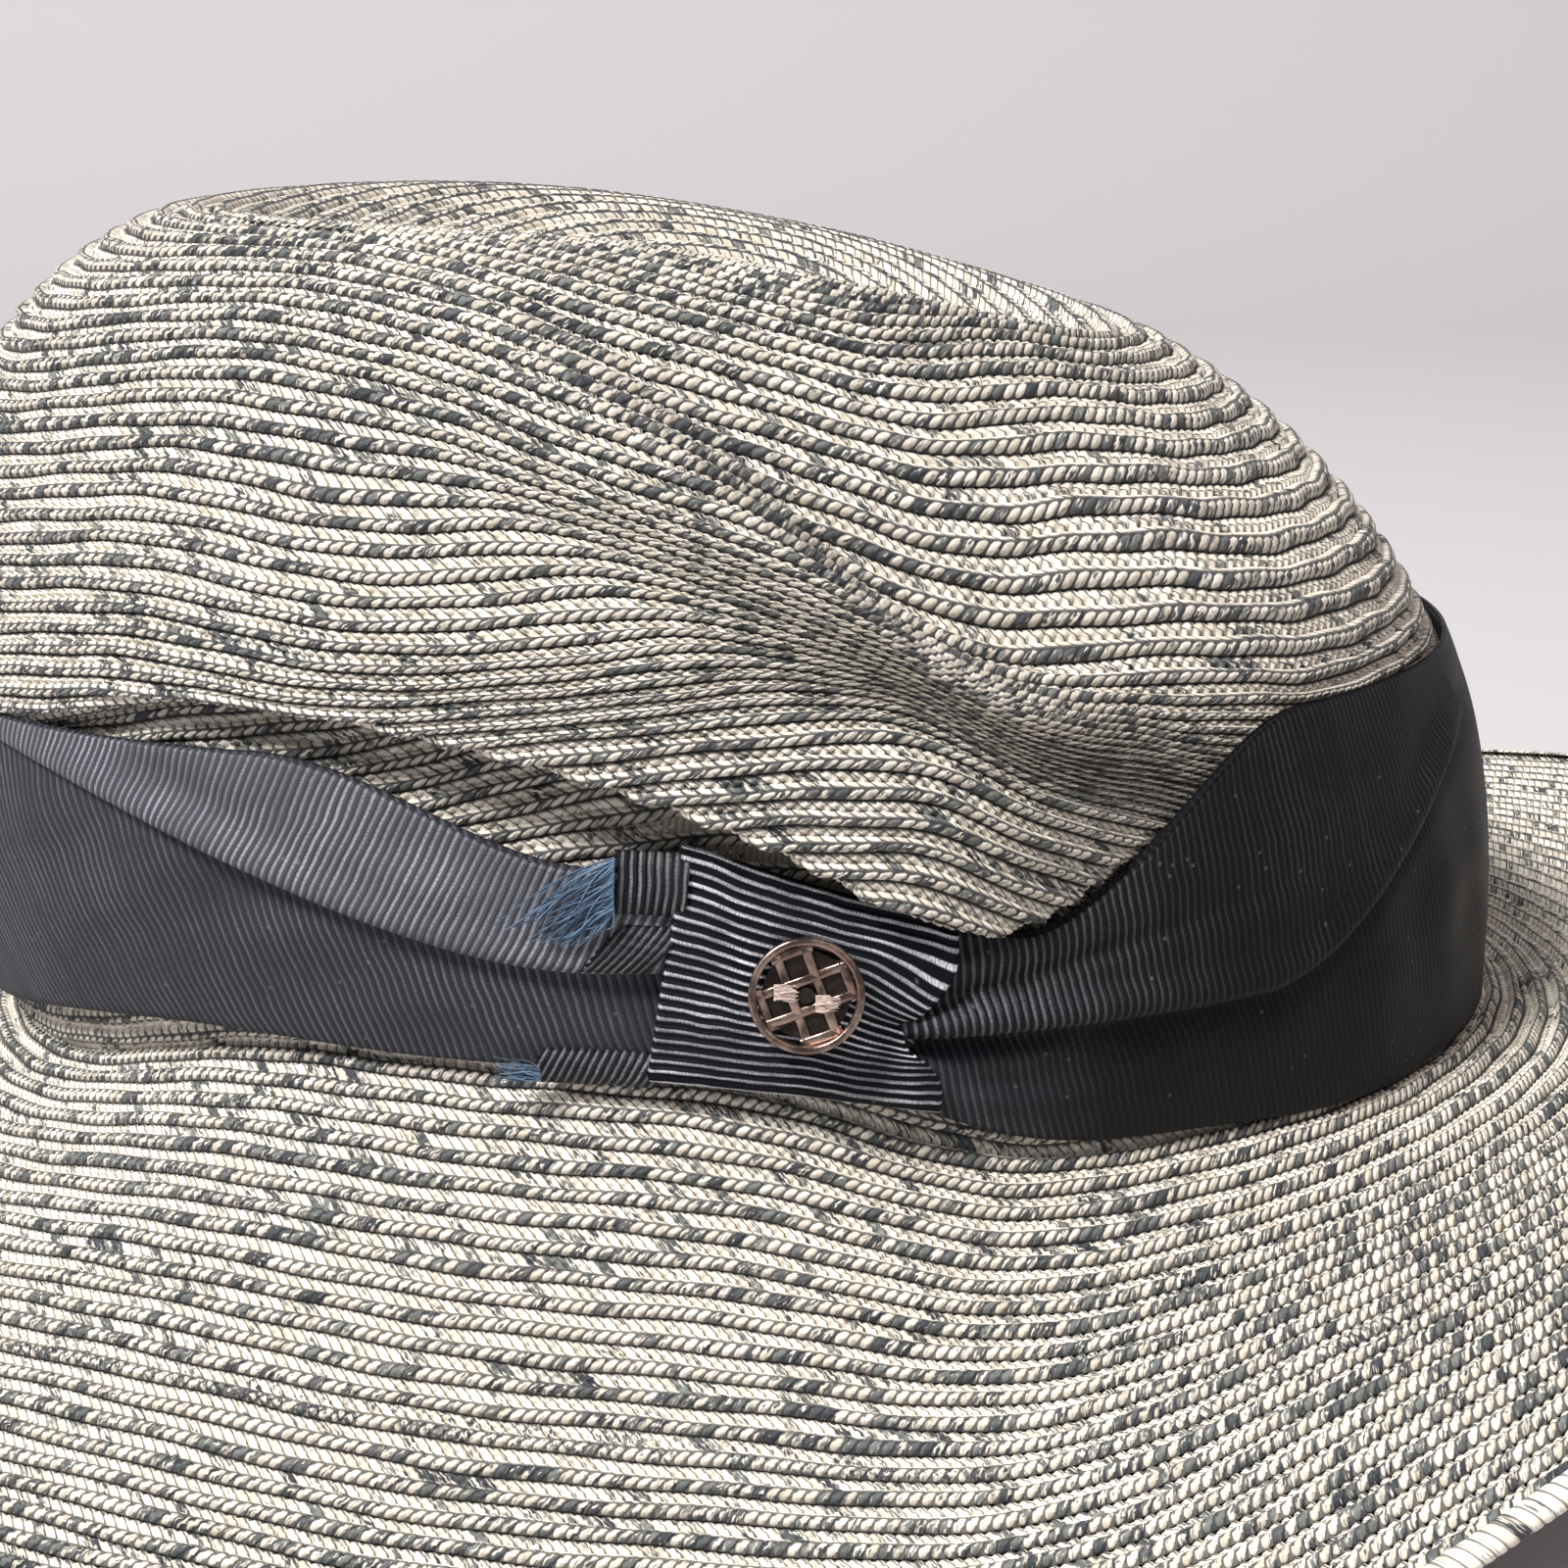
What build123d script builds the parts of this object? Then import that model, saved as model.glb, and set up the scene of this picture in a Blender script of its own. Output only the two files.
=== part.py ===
from build123d import *
import math
import os

os.makedirs("parts", exist_ok=True)

# Sewn-braid sun hat with a creased crown and a grosgrain band.
# Millimetres. The hat stands on its brim: z = 0 is the surface it stands on.
# -X is the wearer's front, -Y the wearer's left (the trimmed side), +Z up.

# ---- driving dimensions -------------------------------------------------
HEAD_A = 99.5          # half length of the headline oval, to the middle of the braid
HEAD_B = 83.0          # half width of the headline oval
HEAD_Z = 38.0          # height of the headline above the surface, front and back
ARCH = 12.0            # extra height of the headline over the trimmed side
CROWN_H = 104.0        # crown height above the headline, at mid length
DENT = 15.0            # depth of the crease along the top of the crown
BRIM_W = 86.0          # brim width along the braid
BRAID_T = 2.2          # thickness of the sewn braid
EDGE_W = 5.6           # width of the doubled last row
EDGE_T = 3.2           # its thickness
RIBBON_T = 0.9         # grosgrain, with its sewn tuck
RIBBON_W = 50.0        # width of the ribbon where it lies flat
WRAP_X = (-9.0, 25.0)  # the bow wrap covers this stretch of the trimmed side
WRAP_T = 1.3
BUTTON_R = 6.5
BUTTON_TILT = 12.0     # the button leans back by this many degrees
GAP = 0.3              # air between neighbouring layers
SWEAT_H = 30.0         # height of the sweatband
STEP = 10              # degrees between the sections of a ring

# Brim slope, degrees below level, every 30 degrees round from the back (+X)
# towards the wearer's right (+Y): at the headline, half way out, at the edge.
SLOPE_IN = (10, 12, 18, 26, 28, 28, 28, 31, 44, 57, 32, 12)
SLOPE_MID = (-8, -3, 8, 22, 27, 27, 27, 30, 40, 46, -2, -18)
SLOPE_OUT = (-14, -10, 0, 16, 22, 22, 22, 22, 18, 8, -8, -18)

# From the middle of the head oval to the middle of the whole hat's own box
SHIFT = (-3.5, -3.85, 2.65)

HALF = BRAID_T / 2
HALVES = ([*range(0, 181, STEP)], [*range(180, 361, STEP)])  # once round, in two lofts


def spread(a, b, count):
    return [a + (b - a) * k / (count - 1) for k in range(count)]


def smooth(x, a, b):
    t = min(1.0, max(0.0, (x - a) / (b - a)))
    return t * t * (3 - 2 * t)


def around(deg, values):
    """Smooth periodic value through equally spaced ones."""
    n = len(values)
    t = (deg % 360) / (360 / n)
    i, f = int(t) % n, t - int(t)
    p0, p1, p2, p3 = (values[(i + k) % n] for k in (-1, 0, 1, 2))
    return 0.5 * (
        2 * p1 + (p2 - p0) * f + (2 * p0 - 5 * p1 + 4 * p2 - p3) * f**2
        + (3 * p1 - p0 - 3 * p2 + p3) * f**3
    )


def headline(deg):
    t = math.radians(deg)
    x, y = HEAD_A * math.cos(t), HEAD_B * math.sin(t)
    near = smooth(-y / HEAD_B, 0.15, 0.65)
    return x, y, HEAD_Z + ARCH * math.exp(-(((x + 28) / 48) ** 4)) * near


def at_x(x):
    """The angle on the trimmed side where the headline has this x."""
    return 360 - math.degrees(math.acos(x / HEAD_A))


def brim_plane(deg):
    t = math.radians(deg)
    x, y, z = headline(deg)
    nx, ny = math.cos(t) / HEAD_A, math.sin(t) / HEAD_B
    size = math.hypot(nx, ny)
    nx, ny = nx / size, ny / size
    foot = Vector(x, y, z) + Vector(*SHIFT)
    return Plane(origin=foot, x_dir=(nx, ny, 0), z_dir=(ny, -nx, 0))


def brim_point(deg, s, off):
    """(out, up) from the headline, s along the brim and off above its middle."""
    r = z = ang = 0.0
    n = 60
    for k in range(n + 1):
        q = s * k / n / BRIM_W
        w1, w2 = smooth(q, 0.05, 0.35), smooth(q, 0.4, 0.95)
        ang = math.radians(
            around(deg, SLOPE_IN) * (1 - w1)
            + (around(deg, SLOPE_MID) * (1 - w2) + around(deg, SLOPE_OUT) * w2) * w1
        )
        share = 0.5 if k in (0, n) else 1.0
        r += math.cos(ang) * s / n * share
        z -= math.sin(ang) * s / n * share
    return r + off * math.sin(ang), z + off * math.cos(ang)


def crown_curve(deg):
    """The crown's middle line at one angle, headline to centre: (r, z, arc length)."""
    hx, hy, hz = headline(deg)
    c = math.cos(math.radians(deg))
    back, front = smooth(c, -0.2, 1.0), smooth(-c, -0.1, 1.0)
    m = 3.5 - 0.6 * back + 1.4 * front
    radius = math.hypot(hx, hy)
    out, run = [], 0.0
    for k in range(301):
        a = math.pi / 2 * k / 300
        rho = max(0.0, math.cos(a)) ** (2 / m) if k < 300 else 0.0
        ze = math.sin(a) ** (2 / m)
        k_out = rho * (1 + (0.015 + 0.095 * front) * math.sin(math.pi * ze**0.8))
        x, y = hx * k_out, hy * k_out
        top = HEAD_Z + CROWN_H - 0.085 * x - 0.0006 * (x + 45) ** 2
        z = HEAD_Z + (hz - HEAD_Z) * (1 - ze) ** 2.5 + (top - HEAD_Z) * ze
        z -= DENT * math.exp(-((y / 25) ** 2) - ((x - 2) / 64) ** 4) * smooth(ze, 0.93, 1)
        r = radius * k_out
        if out:
            run += math.hypot(r - out[-1][0], z - out[-1][1])
        out.append((r, z, run))
    return out


def crown_point(line, t, off):
    """(out, up) at arc length t along a crown line, off outward from its middle."""
    k = 1
    while k < len(line) - 1 and line[k][2] < t:
        k += 1
    (r0, z0, t0), (r1, z1, t1) = line[k - 1], line[k]
    f = (t - t0) / (t1 - t0)
    j0, j1 = line[max(0, k - 4)], line[min(len(line) - 1, k + 3)]
    dr, dz = j1[0] - j0[0], j1[1] - j0[1]
    size = math.hypot(dr, dz)
    return r0 + (r1 - r0) * f + off * dz / size, z0 + (z1 - z0) * f - off * dr / size


def crown_plane(deg):
    x, y, _ = headline(deg)
    size = math.hypot(x, y)
    return Plane(origin=SHIFT, x_dir=(x / size, y / size, 0), z_dir=(y / size, -x / size, 0))


def brim_ring(name, s0, s1, thick, count):
    """One ring of the brim, lofted through its radial sections."""
    stations = spread(s0, s1, count)
    with BuildPart() as ring:
        for half in HALVES:
            for deg in half:
                with BuildSketch(brim_plane(deg)):
                    with BuildLine():
                        top = Spline(*[brim_point(deg, s, thick / 2) for s in stations])
                        under = Spline(*[brim_point(deg, s, -thick / 2) for s in stations])
                        Line(top @ 0, under @ 0)
                        Line(top @ 1, under @ 1)
                    make_face()
            loft()
    ring.part.label = name
    return ring


def crown_layer(name, low, high, off_in, off_out, count, spans):
    """A layer of the crown between two arc lengths, at two offsets from its middle.

    Each of spans is a run of angles for one loft; runs that meet make one body.
    """
    with BuildPart() as layer:
        for span in spans:
            for deg in span:
                line = crown_curve(deg)
                stations = spread(low(deg, line[-1][2]), high(deg, line[-1][2]), count)
                with BuildSketch(crown_plane(deg)):
                    with BuildLine():
                        outer = Spline(*[crown_point(line, t, off_out) for t in stations])
                        inner = Spline(*[crown_point(line, t, off_in) for t in stations])
                        Line(outer @ 0, inner @ 0)
                        Line(outer @ 1, inner @ 1)
                    make_face()
            loft()
    layer.part.label = name
    return layer


# ---- braid shell ----------------------------------------------------------
TIP_SHARE = 0.62       # where the wall's braid passes into the tip's
COIL_SHARE = 0.955

crown_side = crown_layer(
    "crown_side", lambda d, l: 1.7, lambda d, l: TIP_SHARE * l, -HALF, HALF, 9, HALVES
)

crown_tip = crown_layer(
    "crown_tip", lambda d, l: TIP_SHARE * l + GAP, lambda d, l: COIL_SHARE * l,
    -HALF, HALF, 7, HALVES,
)

# The oval coil where the braid starts, at the bottom of the crease
COIL_R = 6.9
coil_z = HEAD_Z + CROWN_H - 0.0006 * 45**2 - DENT
with BuildPart() as start_coil:
    coil_foot = Vector(0, 0, coil_z - HALF) + Vector(*SHIFT)
    with BuildSketch(Plane(origin=coil_foot, z_dir=(0.139, 0, 1))):
        Circle(COIL_R)
    extrude(amount=BRAID_T)
    fillet(start_coil.edges().group_by(Axis.Z)[-1], 0.6)
start_coil.part.label = "crown_start_coil"

brim_braid = brim_ring("brim_braid", 0.3, BRIM_W - EDGE_W - GAP, BRAID_T, 7)

brim_edge = brim_ring("brim_edge_row", BRIM_W - EDGE_W, BRIM_W, EDGE_T, 3)

# ---- inside ---------------------------------------------------------------
SWEAT_OUT = -HALF - GAP
SWEAT_IN = SWEAT_OUT - 1.2
sweatband = crown_layer(
    "sweatband", lambda d, l: 2.0, lambda d, l: 2.0 + SWEAT_H, SWEAT_IN, SWEAT_OUT, 4, HALVES
)

sweat_join = crown_layer(
    "sweatband_join", lambda d, l: 2.5, lambda d, l: 1.5 + SWEAT_H,
    SWEAT_IN - GAP - 0.6, SWEAT_IN - GAP, 4, [spread(-5, 5, 3)],
)

label = crown_layer(
    "blank_label", lambda d, l: 9.0, lambda d, l: 27.0,
    SWEAT_IN - GAP - 0.5, SWEAT_IN - GAP, 3, [spread(52, 64, 3)],
)

# ---- grosgrain band --------------------------------------------------------
# Heights of the ribbon's top edge above the headline's low level, along the
# trimmed side, where it is gathered into the wrap. Elsewhere it is full width.
TOP_EDGE = (
    (-110, 50), (-66, 49.8), (-48, 50.3), (-36, 46.8), (-27, 42.5), (-19, 39.2), (-10, 37.4),
    (8, 33.8), (24, 30), (33, 28.4), (40, 33), (47, 37.2), (53, 43), (62, 48.5), (75, 50.5),
    (110, 50),
)
RIB_IN = HALF + GAP
RIB_OUT = RIB_IN + RIBBON_T


def through(x, points):
    for (x0, y0), (x1, y1) in zip(points, points[1:]):
        if x <= x1:
            return y0 + (y1 - y0) * smooth(x, x0, x1)
    return points[-1][1]


def band_low(deg, _=0):
    x, y, _z = headline(deg)
    return 2.2 + (2.5 * math.exp(-(((x - 20) / 14) ** 2)) if y < 0 else 0)


def band_high(deg, _=0):
    x, y, z = headline(deg)
    near = smooth(-y / HEAD_B, 0.1, 0.4)
    return RIBBON_W * (1 - near) + (through(x, TOP_EDGE) - (z - HEAD_Z)) * near


hatband = crown_layer("hatband", band_low, band_high, RIB_IN, RIB_OUT, 5, HALVES)

# The ribbon's folded-over layers, left and right of the wrap
FOLD_IN = RIB_OUT + 0.2
FOLD_OUT = FOLD_IN + 0.7


def fold_low(deg, _=0):
    x = headline(deg)[0]
    reach = (x + 95) / 80 if x < 0 else (92 - x) / 60
    return band_high(deg) * (0.96 - 0.62 * smooth(reach, 0.0, 1.0))


fold_left = crown_layer(
    "hatband_fold_left", fold_low, lambda d, l: band_high(d) - 0.2, FOLD_IN, FOLD_OUT, 4,
    [spread(at_x(-92), at_x(WRAP_X[0] - 1), 8)],
)

fold_right = crown_layer(
    "hatband_fold_right", fold_low, lambda d, l: band_high(d) - 0.2, FOLD_IN, FOLD_OUT, 4,
    [spread(at_x(WRAP_X[1] + 1), at_x(84), 7)],
)

# ---- bow wrap ----------------------------------------------------------------
# A channel of ribbon closed over the gathered band: a front face and two returns.
WRAP_IN = FOLD_OUT + 0.4
WRAP_OUT = WRAP_IN + WRAP_T


with BuildPart() as bow_wrap:
    for deg in spread(at_x(WRAP_X[0]), at_x(WRAP_X[1]), 5):
        line = crown_curve(deg)
        low, high = band_low(deg) - 0.3, band_high(deg) + 2.2
        corners = (
            (low - WRAP_T, RIB_IN), (low - WRAP_T, WRAP_OUT),
            (high + WRAP_T, WRAP_OUT), (high + WRAP_T, RIB_IN),
            (high, RIB_IN), (high, WRAP_IN), (low, WRAP_IN), (low, RIB_IN),
        )
        with BuildSketch(crown_plane(deg)):
            with BuildLine():
                Polyline(*[crown_point(line, t, off) for t, off in corners], close=True)
            make_face()
    loft()
bow_wrap.part.label = "bow_wrap"

# ---- button ---------------------------------------------------------------------
button_x, button_z = 8.5, HEAD_Z + 24.5
wall_y = -HEAD_B * math.sqrt(1 - (button_x / HEAD_A) ** 2)
lean = math.radians(BUTTON_TILT)
button_axis = (0, -math.cos(lean), math.sin(lean))
button_foot = Vector(button_x, wall_y - WRAP_OUT - 2.4, button_z) + Vector(*SHIFT)


def button_plane(height):
    """A plane across the button's axis, that far in front of its foot."""
    return Plane(
        origin=button_foot + Vector(*button_axis) * height, x_dir=(1, 0, 0), z_dir=button_axis
    )


with BuildPart() as rim:
    with BuildSketch(button_plane(0.3)):
        Circle(BUTTON_R)
        Circle(BUTTON_R - 0.9, mode=Mode.SUBTRACT)
    extrude(amount=1.7)
    fillet(rim.edges().filter_by(GeomType.CIRCLE), 0.3)
rim.part.label = "button_rim"

# Openwork disc: a plain square grille, three openings each way, turned a little
BAR_PITCH, BAR_WIDTH, GRILLE_TURN = 3.3, 1.1, 20
opening = BAR_PITCH - BAR_WIDTH
openings = [
    Rot(0, 0, GRILLE_TURN) * Pos(BAR_PITCH * i, BAR_PITCH * j) * Rectangle(opening, opening)
    for i in (-1, 0, 1)
    for j in (-1, 0, 1)
]
grille = Circle(BUTTON_R - 0.95) - (Sketch() + openings) & Circle(BUTTON_R - 0.95)
with BuildPart() as disc:
    add(extrude(button_plane(0.5) * grille, 0.7))
disc.part.label = "button_openwork_disc"


def stitch(name, x, y):
    """One bundle of the sewing thread that holds the button on, lying over a bar."""
    with BuildPart() as bundle:
        with BuildSketch(button_plane(1.25)):
            with Locations((x, y)):
                RectangleRounded(2.6, 1.9, 0.6)
        extrude(amount=0.7)
        fillet(bundle.faces().sort_by_distance(button_foot + Vector(*button_axis) * 9)[0].edges(), 0.25)
    bundle.part.label = name
    return bundle


stitch_left = stitch("button_stitch_left", -2.3, 0.3)
stitch_right = stitch("button_stitch_right", 2.3, -0.9)

with BuildPart() as shank:
    with BuildSketch(button_plane(-1.6)):
        Circle(0.9)
    extrude(amount=2.8)
shank.part.label = "button_shank"

with BuildPart() as back_plate:
    with BuildSketch(button_plane(-0.25)):
        Circle(BUTTON_R - 1.6)
        Circle(1.05, mode=Mode.SUBTRACT)
    extrude(amount=0.5)
back_plate.part.label = "button_back_plate"

# ---- loose ribbon ends and frayed threads ------------------------------------------
tab_upper = crown_layer(
    "ribbon_end_upper", lambda d, l: band_high(d) - 8.5, lambda d, l: band_high(d) + 1.0,
    FOLD_OUT + 0.2, FOLD_OUT + 1.9, 3, [spread(at_x(-15.6), at_x(-9.6), 3)],
)

tab_lower = crown_layer(
    "ribbon_end_lower", lambda d, l: band_low(d) - 1.2, lambda d, l: band_low(d) + 2.6,
    RIB_OUT + 0.2, RIB_OUT + 1.5, 3, [spread(at_x(-21), at_x(-9.6), 3)],
)


def tuft(name, root, tip, wide, thin):
    """A flat tapering bunch of threads from root to tip."""
    root, tip = Vector(*root) + Vector(*SHIFT), Vector(*tip) + Vector(*SHIFT)
    along = tip - root
    across = Vector(0, 0, 1).cross(along)
    with BuildPart() as bunch:
        with BuildSketch(Plane(origin=root, z_dir=along, x_dir=across)):
            RectangleRounded(thin, thin * 1.4, thin * 0.3)
        with BuildSketch(Plane(origin=tip, z_dir=along, x_dir=across)):
            RectangleRounded(thin, wide, thin * 0.3)
        loft()
    bunch.part.label = name
    return bunch


fray_upper = tuft("frayed_threads_upper", (-17.4, -89.2, 71.6), (-24.5, -87.6, 64.5), 6.0, 1.0)
fray_lower = tuft("frayed_threads_lower", (-21.6, -86.6, 52.2), (-27.0, -85.6, 52.0), 2.6, 0.8)

PIECES = (
    crown_side, crown_tip, start_coil, brim_braid, brim_edge, sweatband, sweat_join, label,
    hatband, fold_left, fold_right, bow_wrap, rim, disc, stitch_left, stitch_right, shank, back_plate,
    tab_upper, tab_lower, fray_upper, fray_lower,
)
low, high = [1e9] * 3, [-1e9] * 3
for piece in PIECES:
    box = piece.part.bounding_box()
    for k, (a, b) in enumerate(zip(tuple(box.min), tuple(box.max))):
        low[k], high[k] = min(low[k], a), max(high[k], b)
    export_step(piece.part, f"parts/{piece.part.label}.step")
    print(piece.part.label, round(piece.part.volume, 1), piece.part.is_valid,
          len(piece.part.solids()))
print("box", [round(v, 2) for v in low], [round(v, 2) for v in high])
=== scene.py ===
import math

import bpy
import numpy as np
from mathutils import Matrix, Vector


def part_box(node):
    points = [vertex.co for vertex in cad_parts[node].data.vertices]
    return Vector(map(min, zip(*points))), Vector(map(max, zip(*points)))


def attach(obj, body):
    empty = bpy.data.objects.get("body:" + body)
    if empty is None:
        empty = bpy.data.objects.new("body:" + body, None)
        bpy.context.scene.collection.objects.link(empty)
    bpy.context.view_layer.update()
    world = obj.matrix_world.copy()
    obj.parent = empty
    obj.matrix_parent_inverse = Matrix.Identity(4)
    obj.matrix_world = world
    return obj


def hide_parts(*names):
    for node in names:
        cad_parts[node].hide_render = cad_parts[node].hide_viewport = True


# Sewn-braid sun hat. Lengths here are millimetres until build() makes metres.
# -X is the wearer's front, -Y the wearer's left (the trimmed side), +Z up.
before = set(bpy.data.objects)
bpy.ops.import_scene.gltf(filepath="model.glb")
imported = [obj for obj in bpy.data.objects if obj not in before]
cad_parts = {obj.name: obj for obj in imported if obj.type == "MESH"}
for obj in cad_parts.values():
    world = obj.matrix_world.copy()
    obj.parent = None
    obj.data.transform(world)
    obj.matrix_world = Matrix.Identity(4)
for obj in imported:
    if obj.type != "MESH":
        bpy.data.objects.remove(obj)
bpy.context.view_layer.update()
rng = np.random.default_rng(7)

SHIFT = np.array([-3.5, -3.85, 2.65])  # head oval's middle to the row's origin
A, B, ZH = 99.5, 83.0, 38.0  # headline oval and height
BRIM_W = 86.0
ROWS_CROWN, ROWS_BRIM = 62, 27
STITCH, BRIM_STITCH = 1.60, 1.40  # length of one stitch along a row
SLOPE_IN = (10, 12, 18, 26, 28, 28, 28, 31, 44, 57, 32, 12)
SLOPE_MID = (-8, -3, 8, 22, 27, 27, 27, 30, 40, 46, -2, -18)
SLOPE_OUT = (-14, -10, 0, 16, 22, 22, 22, 22, 18, 8, -8, -18)


# ---------------------------------------------------------------- shape
def sm(x, a, b):
    t = np.clip((x - a) / (b - a), 0, 1)
    return t * t * (3 - 2 * t)


def around(deg, values):
    v = np.asarray(values, float)
    n = len(v)
    t = (deg % 360) / (360 / n)
    i = np.floor(t).astype(int)
    f = t - i
    p0, p1, p2, p3 = (v[(i + k) % n] for k in (-1, 0, 1, 2))
    return 0.5 * (
        2 * p1 + (p2 - p0) * f + (2 * p0 - 5 * p1 + 4 * p2 - p3) * f**2
        + (3 * p1 - p0 - 3 * p2 + p3) * f**3
    )


def through(x, pts):
    """A smooth line through given (x, value) points."""
    px, py = (np.array(v, float) for v in zip(*pts))
    m = np.gradient(py, px)
    x = np.clip(x, px[0], px[-1])
    k = np.clip(np.searchsorted(px, x) - 1, 0, len(px) - 2)
    h = px[k + 1] - px[k]
    t = (x - px[k]) / h
    return (
        (2 * t**3 - 3 * t**2 + 1) * py[k] + (t**3 - 2 * t**2 + t) * h * m[k]
        + (3 * t**2 - 2 * t**3) * py[k + 1] + (t**3 - t**2) * h * m[k + 1]
    )


def headline(th):
    x, y = A * np.cos(th), B * np.sin(th)
    arch = 12 * np.exp(-(((x + 28) / 48) ** 4)) * sm(-y / B, 0.15, 0.65)
    return x, y, ZH + arch


def out_dir(th):
    nx, ny = np.cos(th) / A, np.sin(th) / B
    size = np.hypot(nx, ny)
    return nx / size, ny / size


def along(curve):
    d = np.sqrt((np.diff(curve, axis=0) ** 2).sum(-1))
    return np.vstack([np.zeros(d.shape[1]), np.cumsum(d, axis=0)])


def crown_base(nt=721, nq=481):
    """The plain crown: grid by share of the way up (0 headline, 1 centre) and angle."""
    th = np.radians(np.linspace(0, 360, nt))
    al = np.linspace(0, np.pi / 2, 600)[:, None]
    c = np.cos(th)[None]
    back, front = sm(c, -0.2, 1.0), sm(-c, -0.1, 1.0)
    m = 3.5 - 0.6 * back + 1.4 * front
    rho = np.clip(np.cos(al), 0, 1) ** (2 / m)
    rho[-1] = 0
    ze = np.sin(al) ** (2 / m)
    hx, hy, hz = headline(th)
    k = rho * (1 + (0.015 + 0.095 * front) * np.sin(np.pi * ze**0.8))
    x, y = hx * k, hy * k
    top = ZH + 104 - 0.085 * x - 0.0006 * (x + 45) ** 2
    z = ZH + (hz - ZH) * (1 - ze) ** 2.5 + (top - ZH) * ze
    z -= 15 * np.exp(-((y / 25) ** 2) - ((x - 2) / 64) ** 4) * sm(ze, 0.93, 1.0)
    curve = np.stack([x, y, z], -1)
    length = along(curve)
    q = np.linspace(0, 1, nq)
    grid = np.zeros((nq, nt, 3))
    for i in range(nt):
        u = length[:, i] / length[-1, i]
        for j in range(3):
            grid[:, i, j] = np.interp(q, u, curve[:, i, j])
    return grid, length[-1]


def lookup(grid, th, q):
    """Bilinear value of a (share, angle) grid that closes at 360 degrees."""
    nq, nt = grid.shape[:2]
    a = (np.degrees(th) % 360) / 360 * (nt - 1)
    b = np.clip(q, 0, 1) * (nq - 1)
    i = np.clip(a.astype(int), 0, nt - 2)
    j = np.clip(b.astype(int), 0, nq - 2)
    fa, fb = (a - i)[..., None], (b - j)[..., None]
    low = grid[j, i] * (1 - fa) + grid[j, i + 1] * fa
    high = grid[j + 1, i] * (1 - fa) + grid[j + 1, i + 1] * fa
    return low * (1 - fb) + high * fb


BASE, BASE_LEN = crown_base()

# The buckled fold of the trimmed side. The lip is where the crown's wall rolls out
# over the band, the valley is the crease behind the roll. Heights are along the braid.
LIP = ((-110, 40), (-80, 45), (-60, 46.5), (-40, 46.5), (-27, 46), (-18, 45), (2, 40), (18, 36), (30, 34), (46, 36), (70, 40))
LIP_SIZE = ((-110, 0.1), (-70, 0.3), (-40, 0.65), (-15, 0.95), (5, 1), (25, 0.9), (38, 0.5), (50, 0.1), (60, 0), (100, 0))
VALLEY = ((-110, 130), (-60, 118), (-38, 108), (-26, 102), (5, 85), (27, 72), (46, 58), (60, 46), (80, 30))
VALLEY_SIZE = ((-110, 0), (-70, 0), (-45, 0.35), (-25, 0.8), (0, 1), (25, 1), (42, 0.8), (56, 0.3), (66, 0), (100, 0))


def crown_len(th):
    return np.interp(np.degrees(th) % 360, np.linspace(0, 360, len(BASE_LEN)), BASE_LEN)


def crown_fold(th, q):
    """Where the braid of the crown lies once the fold is in it."""
    c, s = np.cos(th), np.sin(th)
    x = A * c
    near = sm(-s, 0.05, 0.55)
    lip = near * np.maximum(through(x, LIP_SIZE), 0)
    val = near * np.maximum(through(x, VALLEY_SIZE), 0)
    length = crown_len(th)
    m = q * (length + 12 * lip + 7.5 * val)
    w2 = m - through(x, LIP) - 1
    f2 = sm(w2, -3.5, 4)
    w1 = (m - through(x, VALLEY)) * 0.86
    f1 = sm(w1, -7, 6)
    m2 = m - 12 * lip * f2 - 6.45 * val * f1
    dx = 3.75 * val * f1 * np.exp(-np.maximum(w1, 0) / 60)
    th2 = th + dx / (A * np.maximum(np.abs(s), 0.3)) * -1
    p = lookup(BASE, th2, m2 / length)
    out = lip * (10.5 * f2 - 3.0) * sm(w2, -30, -4)
    out += lip * 2.0 * np.exp(-(((w2 - 16) / 12) ** 2))
    out -= val * (8.5 + 6.0 * lip) * f1
    fade = np.where(w1 > 0, 1 - sm(w1, 8, 55), 1 - sm(w2, 60, 110))
    out *= fade
    nx, ny = out_dir(th2)
    return p + np.stack([nx * out, ny * out, 0 * out], -1)


CREST_HIGH, CREST_BOW, CREST_LOW = 73.0, 60.0, 35.0  # height of the roll's crest at its left, at the bow and at its right


def crest_line(x):
    """The crest stays level at the left, then comes down past the bow."""
    return CREST_HIGH - (CREST_HIGH - CREST_BOW) * sm(x, -36, 8) - (CREST_BOW - CREST_LOW) * sm(x, 8, 60)


def row_slope(x, r):
    """How steeply the rows climb at x, r mm up the crown: up the face of the roll, down its crease."""
    d = r - crest_line(x)
    k = sm(d, -9, 5)
    climb = 0.235 * sm(x, -64, -30) * (1 - sm(x, 12, 26)) * sm(r, 6, 38)
    fall = 0.24 * sm(x, -48, -24) * (1 - sm(x, 18, 40)) * np.exp(-np.maximum(d, 0) / 14)
    end = 0.57 * sm(x, 14, 30) * (1 - sm(x, 38, 84)) * sm(r, 4, 36) * (1 - sm(r, 36, 108))
    side = 0.24 * (1 - sm(x, -75, -50)) * sm(r, 45, 80) * (1 - sm(r, 100, 130))
    return climb * (1 - k) - fall * k - end + side


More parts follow.
